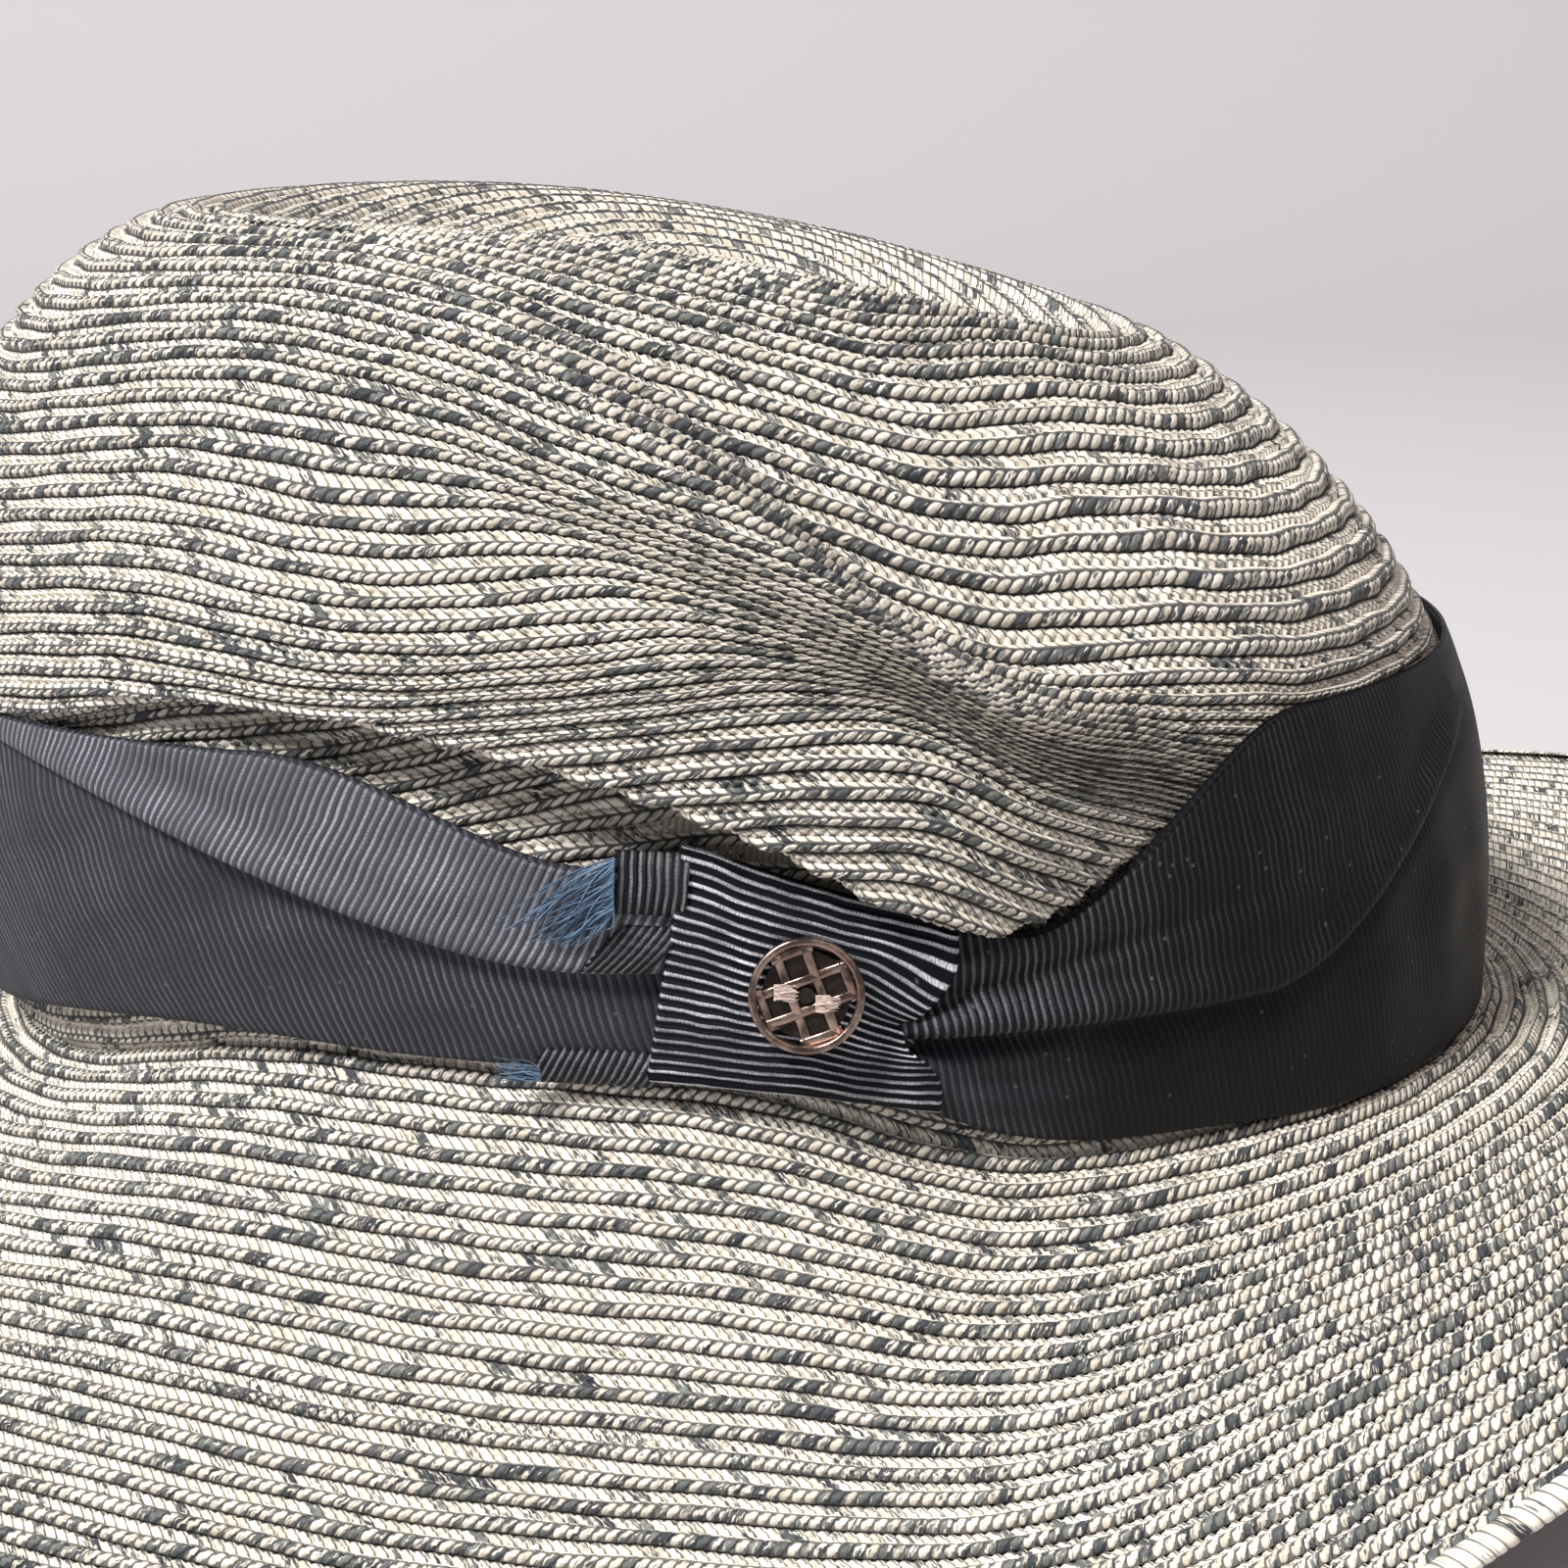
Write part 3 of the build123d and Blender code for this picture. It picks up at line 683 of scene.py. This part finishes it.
def grosgrain(name, pitch, base, thread, shine, slant=0.0, depth=0.00010, thin=0.72, fade=None, gloss=0.26):
    """Ribbon with ribs across it, the rib tops painted lighter in the thread colour as a highlight; uv is mm along and
    mm across the ribbon.
    """
    m = material(name, rough=0.6, sheen=0.02, tint=(0.55, 0.6, 0.75))
    m.node_tree.nodes["Principled BSDF"].inputs["Specular IOR Level"].default_value = gloss
    n = Net(m)
    u, v = n.uv("rib")
    wob = n.noise(n.vec(n.math("MULTIPLY", u, 0.05), n.math("MULTIPLY", v, 0.09)), 1.0, 2.0)
    x = n.math("MULTIPLY_ADD", v, slant, n.math("MULTIPLY_ADD", wob, 1.6, u))
    x = n.math("DIVIDE", x, pitch)
    f, one = n.math("FRACT", x), n.math("FLOOR", x)
    rib = n.math("SINE", n.math("MULTIPLY", f, math.pi))
    # fine wrapped thread along each rib
    twist = n.noise(n.vec(n.math("MULTIPLY", x, 2.0), n.math("MULTIPLY", v, 5.5), 4.0), 1.0, 2.0, 0.7)
    vary, _ = n.white(n.vec(one, 2.0, 5.0))
    cloud = n.noise(n.vec(n.math("MULTIPLY", u, 0.06), n.math("MULTIPLY", v, 0.10), 2.0), 1.0, 3.0, 0.6)
    # painted highlight: the top of each rib painted in the thread colour, patchy across the ribbon
    top = n.ramp(rib, thin, 0.995)
    painted_rib_highlight = n.math("MULTIPLY", n.math("MULTIPLY", top, n.ramp(twist, 0.30, 0.62, 0.25, 1.0)), n.math("MULTIPLY_ADD", vary, 0.5, 0.6))
    painted_rib_highlight = n.math("MULTIPLY", painted_rib_highlight, n.ramp(cloud, 0.30, 0.62, 0.45, 1.15))
    # painted shade: over the fade span the ribs' bump flattens and the base colour and highlight are painted darker,
    # back to full from 545 to 574 mm along
    if fade:
        rib = n.math("MULTIPLY", rib, n.ramp(u, fade[0], fade[1], 1.0, 0.3))
        low = n.math("ADD", n.ramp(u, fade[0], fade[1], 1.0, fade[2]), n.ramp(u, 545, 574, 0.0, 1.0 - fade[2]))
        painted_rib_highlight = n.math("MULTIPLY", painted_rib_highlight, low)
        base = n.mix(low, tuple(0.15 * c for c in base), base)
    # the painted highlight laid over the base colour, as strong as shine
    colour = n.mix(n.math("MULTIPLY", painted_rib_highlight, shine), base, thread)
    dust, _ = n.white(n.vec(n.math("FLOOR", n.math("MULTIPLY", u, 2.6)), n.math("FLOOR", n.math("MULTIPLY", v, 2.6)), 8.0))
    colour = n.mix(n.math("MULTIPLY", n.math("GREATER_THAN", dust, 0.9985), 0.18), colour, (0.3, 0.3, 0.32))
    n.t.links.new(colour, n.bsdf.inputs["Base Color"])
    n.t.links.new(n.ramp(twist, 0.3, 0.7, 0.45, 0.68), n.bsdf.inputs["Roughness"])
    n.bump(n.math("MULTIPLY_ADD", twist, 0.25, rib), depth, 1.0)
    return m


NAVY = (0.0085, 0.0095, 0.015)
# one grosgrain ribbon in lit and shaded copies: the band is painted darker (painted shade) over its right-hand span,
# the left folded layer is painted lighter as lit, the right folded layer darker as shaded
band_mat = grosgrain("grosgrain_band", 0.98, (0.022, 0.023, 0.030), (0.12, 0.123, 0.143), 0.75, 0.25, 0.00014, fade=(446, 476, 0.15), gloss=0.14)
lit_fold_mat = grosgrain("grosgrain_fold", 0.98, (0.046, 0.048, 0.060), (0.30, 0.31, 0.352), 0.9, -0.42, 0.00014)
shaded_right_fold_mat = grosgrain("grosgrain_fold_right", 0.98, (0.006, 0.0062, 0.009), (0.15, 0.15, 0.17), 0.8, 0.12, 0.00020, fade=(456, 486, 0.20), gloss=0.18)
# painted highlight: the wrap's rib tops painted near white
wrap_mat = grosgrain("grosgrain_wrap", 1.3, (0.0035, 0.0045, 0.009), (0.82, 0.83, 0.90), 1.0, 0.0, 0.00022, thin=0.76, gloss=0.10)
tab_mat = grosgrain("grosgrain_tab", 0.95, (0.0035, 0.0045, 0.008), (0.22, 0.22, 0.24), 0.9, 0.0, 0.00020)

# the band, all round
th = angles(n_of(620), n_of(300))
share = np.concatenate([[0, 0.006], np.linspace(0.03, 0.97, 34), [0.994, 1]])
sg, tg = np.meshgrid(share, th, indexing="ij")
lo, hi = band_low(tg), band_high(tg)
t = lo + (hi - lo) * sg
x = A * np.cos(tg)
side = (np.sin(tg) < 0) * sm(-np.sin(tg), 0.05, 0.3)
u = tg * 91.5
body = np.sin(np.pi * np.clip(sg, 0, 1)) ** 0.7
off = 1.95 + 0.28 * ripple(u, t, 3) * body * (0.4 + 0.6 * side)
off = off - side * 1.0 * np.exp(-(((x + 50) / 6) ** 2) - ((sg - 0.52) / 0.10) ** 2)
off = off + side * 1.3 * sm(x, 55, 78) * (1 - sg) ** 3
for x0, s0, rise, size in ((30, 0.30, 0.010, 0.9), (29, 0.52, 0.004, 0.7), (31, 0.12, 0.006, 0.8)):
    away = np.clip(x - x0 + 8, 0, 60)
    off = off + side * size * np.exp(-(((sg - s0 - rise * away) / 0.055) ** 2)) * sm(away, 0, 7) * np.exp(-away / 22) * (x > 20)
for edge_line, deep in ((fold_left_edge, 0.9), (fold_right_edge, 1.9)):
    way = (x < 0) if edge_line is fold_left_edge else (x > 17)
    line = edge_line(x) - (headline(tg)[2] - ZH)
    off = off - side * way * deep * (1 + 0.9 * np.exp(-(((x - 24) / 9) ** 2))) * np.exp(-(((t - line + 0.8) / 1.9) ** 2)) * np.exp(-np.abs(x - 8) / 60)
p, n = wall(tg, t, off)
band = cloth("hatband_ribbon", p, n, 0.7, np.stack([u, t], -1), band_mat, True)
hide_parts("hatband")

# the folded-over layers beside the wrap, each rolled under at its lower edge
for name, x0, x1, edge_line, node, seed in (
    ("ribbon_fold_left", -98.5, -4.5, fold_left_edge, "hatband_fold_left", 5),
    ("ribbon_fold_right", 16.5, 92.0, fold_right_edge, "hatband_fold_right", 9),
):
    th = np.linspace(at_x(x0), at_x(x1), n_of(260))
    share = np.concatenate([[0, 0.012, 0.03, 0.055, 0.09, 0.13], np.linspace(0.18, 0.985, 26), [1]])
    sg, tg = np.meshgrid(share, th, indexing="ij")
    x = A * np.cos(tg)
    hi = band_high(tg) - 0.15
    lo = np.minimum(edge_line(x) - (headline(tg)[2] - ZH), hi - 0.3)
    t = lo + (hi - lo) * sg
    d = t - lo
    size = np.clip((hi - lo) / 12, 0, 1)
    roll = np.sqrt(np.clip(1 - (1 - np.clip(d / 1.3, 0, 1)) ** 2, 0, 1))
    u = tg * 91.5
    off = 2.35 + size * (0.75 * roll + 1.0 * np.exp(-(((d - 1.8) / 2.6) ** 2)) * roll)
    off = off + size * 0.30 * ripple(u, t, seed) * sm(d, 1, 6)
    if x0 < 0:
        off = off - size * 1.1 * np.exp(-(((x + 57) / 9) ** 2) - ((d - 5.5) / 3.0) ** 2)
        off = off + size * 0.8 * np.exp(-(((x + 30) / 16) ** 2) - ((d - 7.0) / 3.0) ** 2)
    else:
        away = np.clip(x - 20, 0, 70)
        up = t + headline(tg)[2] - ZH
        off = off + size * 1.4 * np.exp(-(((d - 2.2) / 2.2) ** 2)) * roll * np.exp(-away / 30)
        off = off - size * 1.7 * np.exp(-(((up - 21 - 0.22 * away) / 1.2) ** 2)) * sm(x, 17, 21) * np.exp(-away / 20)
        off = off + size * 1.0 * np.exp(-(((up - 24.6 - 0.26 * away) / 1.8) ** 2)) * sm(x, 17, 21) * np.exp(-away / 20)
        off = off + 0.9 * np.exp(-(((x - 64) / 9) ** 2) - ((up - 27 - 0.35 * (x - 64)) / 5) ** 2)
    off = 2.1 + (off - 2.1) * sm(np.abs(x - 8), 8, 16)
    p, n = wall(tg, t, off)
    # the lit copy on the left layer, the shaded copy on the right
    ob = cloth(name, p, n, 0.6, np.stack([u, t], -1), lit_fold_mat if x0 < 0 else shaded_right_fold_mat)
    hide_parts(node)

# ---------------------------------------------------------------- bow wrap
RIBS = 19
cols, front = n_of(110), n_of(24 * 11)
a = np.linspace(0, 1, cols)
b_front = np.linspace(0, 1, front)
loop = np.concatenate([np.linspace(-0.20, -0.005, 14), b_front, np.linspace(1.005, 1.16, 12)])
bg, ag = np.meshgrid(loop, a, indexing="ij")
b = np.clip(bg, 0, 1)
saw = 0.16 * np.abs(2 * ((b * RIBS) % 1) - 1)
left = -5.2 - 3.7 * b - saw
right = through(b, ((0, 24.4), (0.19, 24.2), (0.33, 22.8), (0.45, 20.9), (0.56, 19.3), (0.63, 18.9), (0.75, 21.4), (0.89, 22.9), (1, 23)))
x = left + (right - left) * ag
th_w = at_x(x)
arch = headline(th_w)[2] - ZH
t_top = 39.4 - 9.6 * ag**1.15 - 0.8 * np.sin(np.pi * ag) - arch
t_low = 15.0 - 4.9 * ag + 0.5 * np.sin(np.pi * ag) - arch
t = t_top + (t_low - t_top) * b
z = ZH + arch + t
over, under = np.clip(-bg, 0, 1) / 0.20, np.clip(bg - 1, 0, 1) / 0.16
swing = over * np.pi + under * np.pi
t = t + np.where(over > 0, 1.5 * np.sin(swing), 0) - np.where(under > 0, 1.4 * np.sin(swing), 0)
off = 4.35 - np.where((over > 0) | (under > 0), 1.55 * (1 - np.cos(swing)) / 2 * 1.55, 0)
inside = np.sin(np.pi * np.clip(b, 0, 1)) ** 0.6
off = off + inside * (0.7 * np.sin(np.pi * ag) + 0.22 * ripple(x, z, 12))
# pinched in behind the button, and a deep fold running to the right edge below it
off = off - 0.9 * np.exp(-(((x - 8.5) / 6.5) ** 2) - ((z - 63) / 6.0) ** 2)
crease = z - (57.0 - 0.25 * (x - 19))
off = off - 2.0 * sm(x, 12, 21) * np.exp(-((crease / 1.5) ** 2)) + 0.7 * sm(x, 12, 21) * np.exp(-(((crease + 3.4) / 2.0) ** 2))
bow = -3.2 * sm(x, 8, 24) ** 1.3 * np.exp(-(((b - 0.40) / 0.25) ** 2)) + 1.0 * sm(x, 12, 25) * np.exp(-(((b - 0.76) / 0.16) ** 2)) - 0.5 * np.exp(-(((x - 8.5) / 7) ** 2)) * np.sin((z - 63) / 4.2) * np.exp(-(((z - 63) / 9) ** 2))
ribs = b * RIBS + bow
ridge = np.sin(np.pi * (ribs % 1)) ** 0.8
p, n = wall(th_w, t, off)
wrap = cloth("bow_wrap_ribbon", p, n, 0.9, np.stack([ribs * 1.3 + np.where(bg < 0, bg, 0) * 20 + np.where(bg > 1, bg - 1, 0) * 20, x], -1), wrap_mat,
             lift=0.26 * (ridge - 0.5) * ((bg >= 0) & (bg <= 1)))
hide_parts("bow_wrap")

# ---------------------------------------------------------------- ribbon ends and threads
def tab(name, x0, x1, low, high, off0, roll, thick, lean, node, ragged):
    g = np.random.default_rng(21)
    cols, rows = n_of(60), 26
    sg, ag = np.meshgrid(np.linspace(0, 1, rows), np.linspace(0, 1, cols), indexing="ij")
    x = x0 + (x1 - x0) * ag + lean * (sg - 0.5)
    x = x - (1 - ag) ** 6 * ragged * g.uniform(0, 1, (rows, 1))
    tg = at_x(x)
    lo, hi = low(tg), high(tg)
    t = lo + (hi - lo) * sg
    off = off0 + roll * np.sin(np.pi * sg) ** 0.7 * (0.6 + 0.4 * ag)
    p, n = wall(tg, t, off)
    v = (x - x0) / 0.85
    ob = cloth(name, p, n, thick, np.stack([x - lean * (sg - 0.5), t], -1), tab_mat, lift=0.16 * np.abs(np.sin(np.pi * v)) - 0.08)
    if node:
        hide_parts(node)


tab("ribbon_end_upper_fold", -12.3, -4.6, lambda d: 0 * d + 21.4, lambda d: 0 * d + 28.6, 3.6, 1.7, 0.8, 0.5, "ribbon_end_upper", 0.8)
tab("ribbon_end_upper_corner", -13.6, -7.0, lambda d: 0 * d + 14.6, lambda d: 0 * d + 20.2, 3.7, 1.2, 0.7, 4.5, None, 0.8)
tab("ribbon_end_lower_fold", -21.5, -7.5, lambda d: band_low(d) - 1.6, lambda d: band_low(d) + 2.6, 2.7, 1.3, 0.7, 2.4, "ribbon_end_lower", 0.6)


def threads(name, roots, tips, count, curl, radius, seed, mat, node):
    """A bunch of fine loose threads fanning from one short line to another."""
    g = np.random.default_rng(seed)
    sides, segs = 5, 9
    ring = np.linspace(0, 2 * np.pi, sides + 1)
    verts, quads, uvs = [], [], []
    (ra, rb), (ta, tb) = np.array(roots, float), np.array(tips, float)
    for k in range(count):
        f = g.uniform(0, 1)
        root = ra + (rb - ra) * np.clip(f + g.normal(0, 0.12), 0, 1)
        reach = g.uniform(0.55, 1.08)
        tip = root + (ta + (tb - ta) * np.clip(f + g.normal(0, 0.16), -0.1, 1.1) - root) * reach
        side = g.normal(0, curl, 3) * np.array([1, 0.35, 1])
        s = np.linspace(0, 1, segs)[:, None]
        line = root + (tip - root) * s + side * np.sin(np.pi * s) + g.normal(0, curl * 0.35, 3) * np.sin(2 * np.pi * s)
        line[:, 1] = np.minimum(line[:, 1], root[1] + (tip[1] - root[1]) * s[:, 0] + 0.6)
        d = np.gradient(line, axis=0)
        d /= np.linalg.norm(d, axis=-1, keepdims=True)
        e1 = np.cross(d, (0, 1, 0))
        e1 /= np.linalg.norm(e1, axis=-1, keepdims=True)
        e2 = np.cross(d, e1)
        rad = radius * g.uniform(0.7, 1.3) * (1 - 0.55 * s)
        tube = line[:, None] + rad[..., None] * (np.cos(ring)[None, :, None] * e1[:, None] + np.sin(ring)[None, :, None] * e2[:, None])
        quads.append(grid_quads(segs, sides + 1, len(verts) * segs * (sides + 1)))
        verts.append(tube.reshape(-1, 3))
        uvs.append(np.stack([np.full((segs, sides + 1), k + 0.5), np.repeat(s, sides + 1, 1) * 9], -1).reshape(-1, 2))
    ob = build(name, np.concatenate(verts), np.concatenate(quads), {"rib": np.concatenate(uvs)})
    ob.data.materials.append(mat)
    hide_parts(node)


blue = material("frayed_thread", rough=0.6, sheen=0.2, tint=(0.6, 0.75, 1.0))
n = Net(blue)
u, v = n.uv("rib")
vary, _ = n.white(n.vec(n.math("FLOOR", u), 1.0, 1.0))
fuzz = n.noise(n.vec(u, n.math("MULTIPLY", v, 1.5)), 2.0, 2.0)
n.t.links.new(n.mix(vary, (0.018, 0.035, 0.075), n.mix(fuzz, (0.030, 0.075, 0.15), (0.15, 0.26, 0.38))), n.bsdf.inputs["Base Color"])
threads("frayed_threads_fan", ((-12.6, -89.6, 78.2), (-12.8, -90.2, 72.5)), ((-25.3, -88.3, 69.8), (-17.2, -89.2, 67.6)), 80, 0.6, 0.13, 31, blue, "frayed_threads_upper")
threads("frayed_threads_small", ((-21.6, -87.2, 52.8), (-21.4, -87.6, 51.4)), ((-27.0, -86.4, 53.8), (-26.0, -86.8, 50.9)), 26, 0.35, 0.12, 32, blue, "frayed_threads_lower")

# ---------------------------------------------------------------- inside
# the lighter thread colour is painted on the rib tops as a highlight
lining = grosgrain("sweatband_cloth", 0.7, (0.30, 0.265, 0.21), (0.55, 0.50, 0.42), 0.8)
plain = grosgrain("label_cloth", 0.45, (0.48, 0.46, 0.42), (0.66, 0.64, 0.60), 0.8)
for name, node, a0, a1, t0, t1, off, thick, mat, rows in (
    ("sweatband_ribbon", "sweatband", 0, 360, 2, 32, -2.6, 0.9, lining, 16),
    ("sweatband_join_tape", "sweatband_join", -5, 5, 2.5, 31.5, -3.5, 0.6, lining, 16),
    ("label_blank", "blank_label", 52, 64, 9, 27, -3.45, 0.5, plain, 12),
):
    th = np.radians(np.linspace(a0, a1, n_of(360) if a1 == 360 else 24))
    sg, tg = np.meshgrid(np.concatenate([[0], np.linspace(0.02, 0.98, rows), [1]]), th, indexing="ij")
    t = t0 + (t1 - t0) * sg
    p, n = wall(tg, t, off + 0.12 * ripple(tg * 91, t, 4) * np.sin(np.pi * sg))
    ob = cloth(name, p, n, thick, np.stack([tg * 91.5, t], -1), mat, a1 == 360)
    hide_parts(node)

# ---------------------------------------------------------------- button
bronze = material("rose_bronze", (0.30, 0.19, 0.15), 0.22, 1.0)
n = Net(bronze)
geo = n.t.nodes.new("ShaderNodeTexCoord").outputs["Object"]
wear = n.noise(geo, 350, 3.0, 0.6)
fine = n.noise(geo, 5200, 2.0, 0.6)
n.t.links.new(n.mix(n.ramp(wear, 0.35, 0.7), (0.17, 0.115, 0.095), (0.40, 0.285, 0.235)), n.bsdf.inputs["Base Color"])
n.t.links.new(n.ramp(wear, 0.3, 0.7, 0.14, 0.34), n.bsdf.inputs["Roughness"])
n.bump(fine, 0.00002, 0.6)
dark_metal = material("button_back", (0.03, 0.025, 0.022), 0.45, 1.0)
n = Net(dark_metal)
geo = n.t.nodes.new("ShaderNodeTexCoord").outputs["Object"]
n.t.links.new(n.mix(n.noise(geo, 1500, 3.0), (0.015, 0.013, 0.012), (0.07, 0.055, 0.045)), n.bsdf.inputs["Base Color"])
for node, mat in (("button_rim", bronze), ("button_shank", dark_metal), ("button_back_plate", dark_metal)):
    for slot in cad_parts[node].material_slots:
        slot.material = mat

# The button's own frame, from the rim: its middle, and its axis 12 degrees up from -Y
lo, hi = (np.array(v) * 1000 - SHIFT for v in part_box("button_rim"))
mid = (lo + hi) / 2
axis = np.array([0, -math.cos(math.radians(12)), math.sin(math.radians(12))])
right, up = np.array([1.0, 0, 0]), np.cross(axis, (1.0, 0, 0)) * -1
up = np.array([0, math.sin(math.radians(12)), math.cos(math.radians(12))])
turn = math.radians(20)
e1, e2 = right * math.cos(turn) + up * math.sin(turn), up * math.cos(turn) - right * math.sin(turn)


def bars(name, node):
    """A plain grille of flat bars that pass over and under each other."""
    verts, quads = [], []
    reach = 5.5
    for way in (0, 1):
        d, side = (e1, e2) if way == 0 else (e2, e1)
        for k in (-1.5, -0.5, 0.5, 1.5):
            off = 3.3 * k
            if abs(off) > 5.2:
                continue
            half = math.sqrt(reach**2 - off**2)
            s = np.linspace(-half, half, 40)[:, None]
            weave = 0.22 * np.cos(np.pi * s / 3.3) * (1 if (k + way * 1.0 + 1.5) % 2 < 1 else -1)
            line = mid + d * s + side * off + axis * (weave - 0.35)
            ring = np.linspace(0, 2 * np.pi, 17)[:-1]
            wide = 0.56 * np.sign(np.cos(ring)) * np.abs(np.cos(ring)) ** 0.55
            tall = 0.30 * np.sign(np.sin(ring)) * np.abs(np.sin(ring)) ** 0.7
            tube = line[:, None] + side * wide[None, :, None] + axis * tall[None, :, None]
            tube = np.concatenate([tube, tube[:, :1]], 1)
            quads.append(grid_quads(40, 17, sum(len(v) for v in verts)))
            verts.append(tube.reshape(-1, 3))
    ob = build(name, np.concatenate(verts), np.concatenate(quads))
    ob.data.materials.append(bronze)
    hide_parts(node)


bars("button_grille_bars", "button_openwork_disc")
silk = material("button_thread", (0.5, 0.4, 0.36), 0.5, 0.0, 0.2, (1, 0.9, 0.85))
n = Net(silk)
u, v = n.uv("rib")
vary, _ = n.white(n.vec(n.math("FLOOR", u), 3.0, 1.0))
n.t.links.new(n.mix(vary, (0.20, 0.13, 0.11), (0.62, 0.50, 0.45)), n.bsdf.inputs["Base Color"])
for name, node, x, y in (("button_stitch_left_threads", "button_stitch_left", -2.3, 0.3),
                         ("button_stitch_right_threads", "button_stitch_right", 2.3, -0.9)):
    c = mid + right * x + up * y + axis * 0.15
    lines = []
    a0, a1 = c - right * 1.3 - up * 0.85, c - right * 1.3 + up * 0.85
    b0, b1 = c + right * 1.3 - up * 0.75, c + right * 1.3 + up * 0.75
    threads(name, (a0, a1), (b0, b1), 34, 0.16, 0.10, 41 if x < 0 else 42, silk, node)

# ---------------------------------------------------------------- stage
grey = material("stage_grey", (0.55, 0.535, 0.552), 0.9)


def stage():
    y = [-1.6, 1.1] + [1.1 + 0.7 * math.sin(a) for a in np.linspace(0.15, math.pi / 2, 9)] + [1.8]
    z = [0, 0] + [0.7 - 0.7 * math.cos(a) for a in np.linspace(0.15, math.pi / 2, 9)] + [2.6]
    v = [(x, yy, zz) for yy, zz in zip(y, z) for x in (-2.4, 2.4)]
    me = bpy.data.meshes.new("floor")
    me.from_pydata(v, [], [(2 * i, 2 * i + 1, 2 * i + 3, 2 * i + 2) for i in range(len(y) - 1)])
    for p in me.polygons:
        p.use_smooth = True
    ob = bpy.data.objects.new("floor", me)
    bpy.context.scene.collection.objects.link(ob)
    ob.data.materials.append(grey)


stage()


def aim(ob, target):
    d = np.asarray(target) - np.asarray(ob.location)
    import mathutils
    ob.rotation_euler = mathutils.Vector(d).to_track_quat("-Z", "Y").to_euler()


def lamp(name, at, target, size, power, color=(1, 1, 1)):
    data = bpy.data.lights.new(name, "AREA")
    data.size = size
    data.energy = power
    data.color = color
    ob = bpy.data.objects.new(name, data)
    ob.location = at
    bpy.context.scene.collection.objects.link(ob)
    aim(ob, target)


lamp("key", (-1.2, -1.35, 2.2), (0, 0, 0.06), 0.70, 132, (1.0, 0.985, 0.955))
lamp("fill", (1.1, -0.8, 2.0), (0, 0, 0.06), 1.5, 10, (1.0, 0.78, 0.65))
world = bpy.data.worlds.new("studio")
bpy.context.scene.world = world
world.use_nodes = True
world.node_tree.nodes["Background"].inputs[0].default_value = (0.80, 0.82, 0.88, 1)
world.node_tree.nodes["Background"].inputs[1].default_value = 0.36

ELEV, DIST = math.radians(15.0), 430.0
look = np.array([6.0, 0.0, 62.6]) + SHIFT
spot = look - DIST * np.array([0, math.cos(ELEV), -math.sin(ELEV)])
cam = bpy.data.cameras.new("camera")
cam.sensor_width = 36
cam.lens = 36 * 3150 / 1600
eye = bpy.data.objects.new("camera", cam)
eye.location = spot * 0.001
bpy.context.scene.collection.objects.link(eye)
aim(eye, look * 0.001)
bpy.context.scene.camera = eye
bpy.context.scene.view_settings.view_transform = "Standard"

# ---------------------------------------------------------------- cloth
for name, flat, area, held, rests in (
    ("hatband_ribbon", (0.60, 0.050), None, "gathered", ["crown_side", "brim_braid"]),
    ("ribbon_fold_left", (0.112, 0.020), 0.0014, "folded", ["hatband_ribbon"]),
    ("ribbon_fold_right", (0.094, 0.030), 0.0020, "folded", ["hatband_ribbon"]),
    ("bow_wrap_ribbon", (0.040, 0.034), None, "folded", ["hatband_ribbon", "ribbon_fold_left", "ribbon_fold_right"]),
    ("ribbon_end_upper_fold", (0.010, 0.010), 0.00007, "folded", ["ribbon_fold_left"]),
    ("ribbon_end_upper_corner", (0.010, 0.010), 0.00006, "folded", ["ribbon_fold_left"]),
    ("ribbon_end_lower_fold", (0.015, 0.010), 0.00008, "folded", ["hatband_ribbon"]),
    ("sweatband_ribbon", (0.57, 0.030), None, "stretched", ["crown_side"]),
    ("sweatband_join_tape", (0.029, 0.0145), None, "stretched", ["sweatband_ribbon"]),
    ("label_blank", (0.018, 0.018), None, "stretched", ["sweatband_ribbon"]),
):
    ob = bpy.data.objects[name]
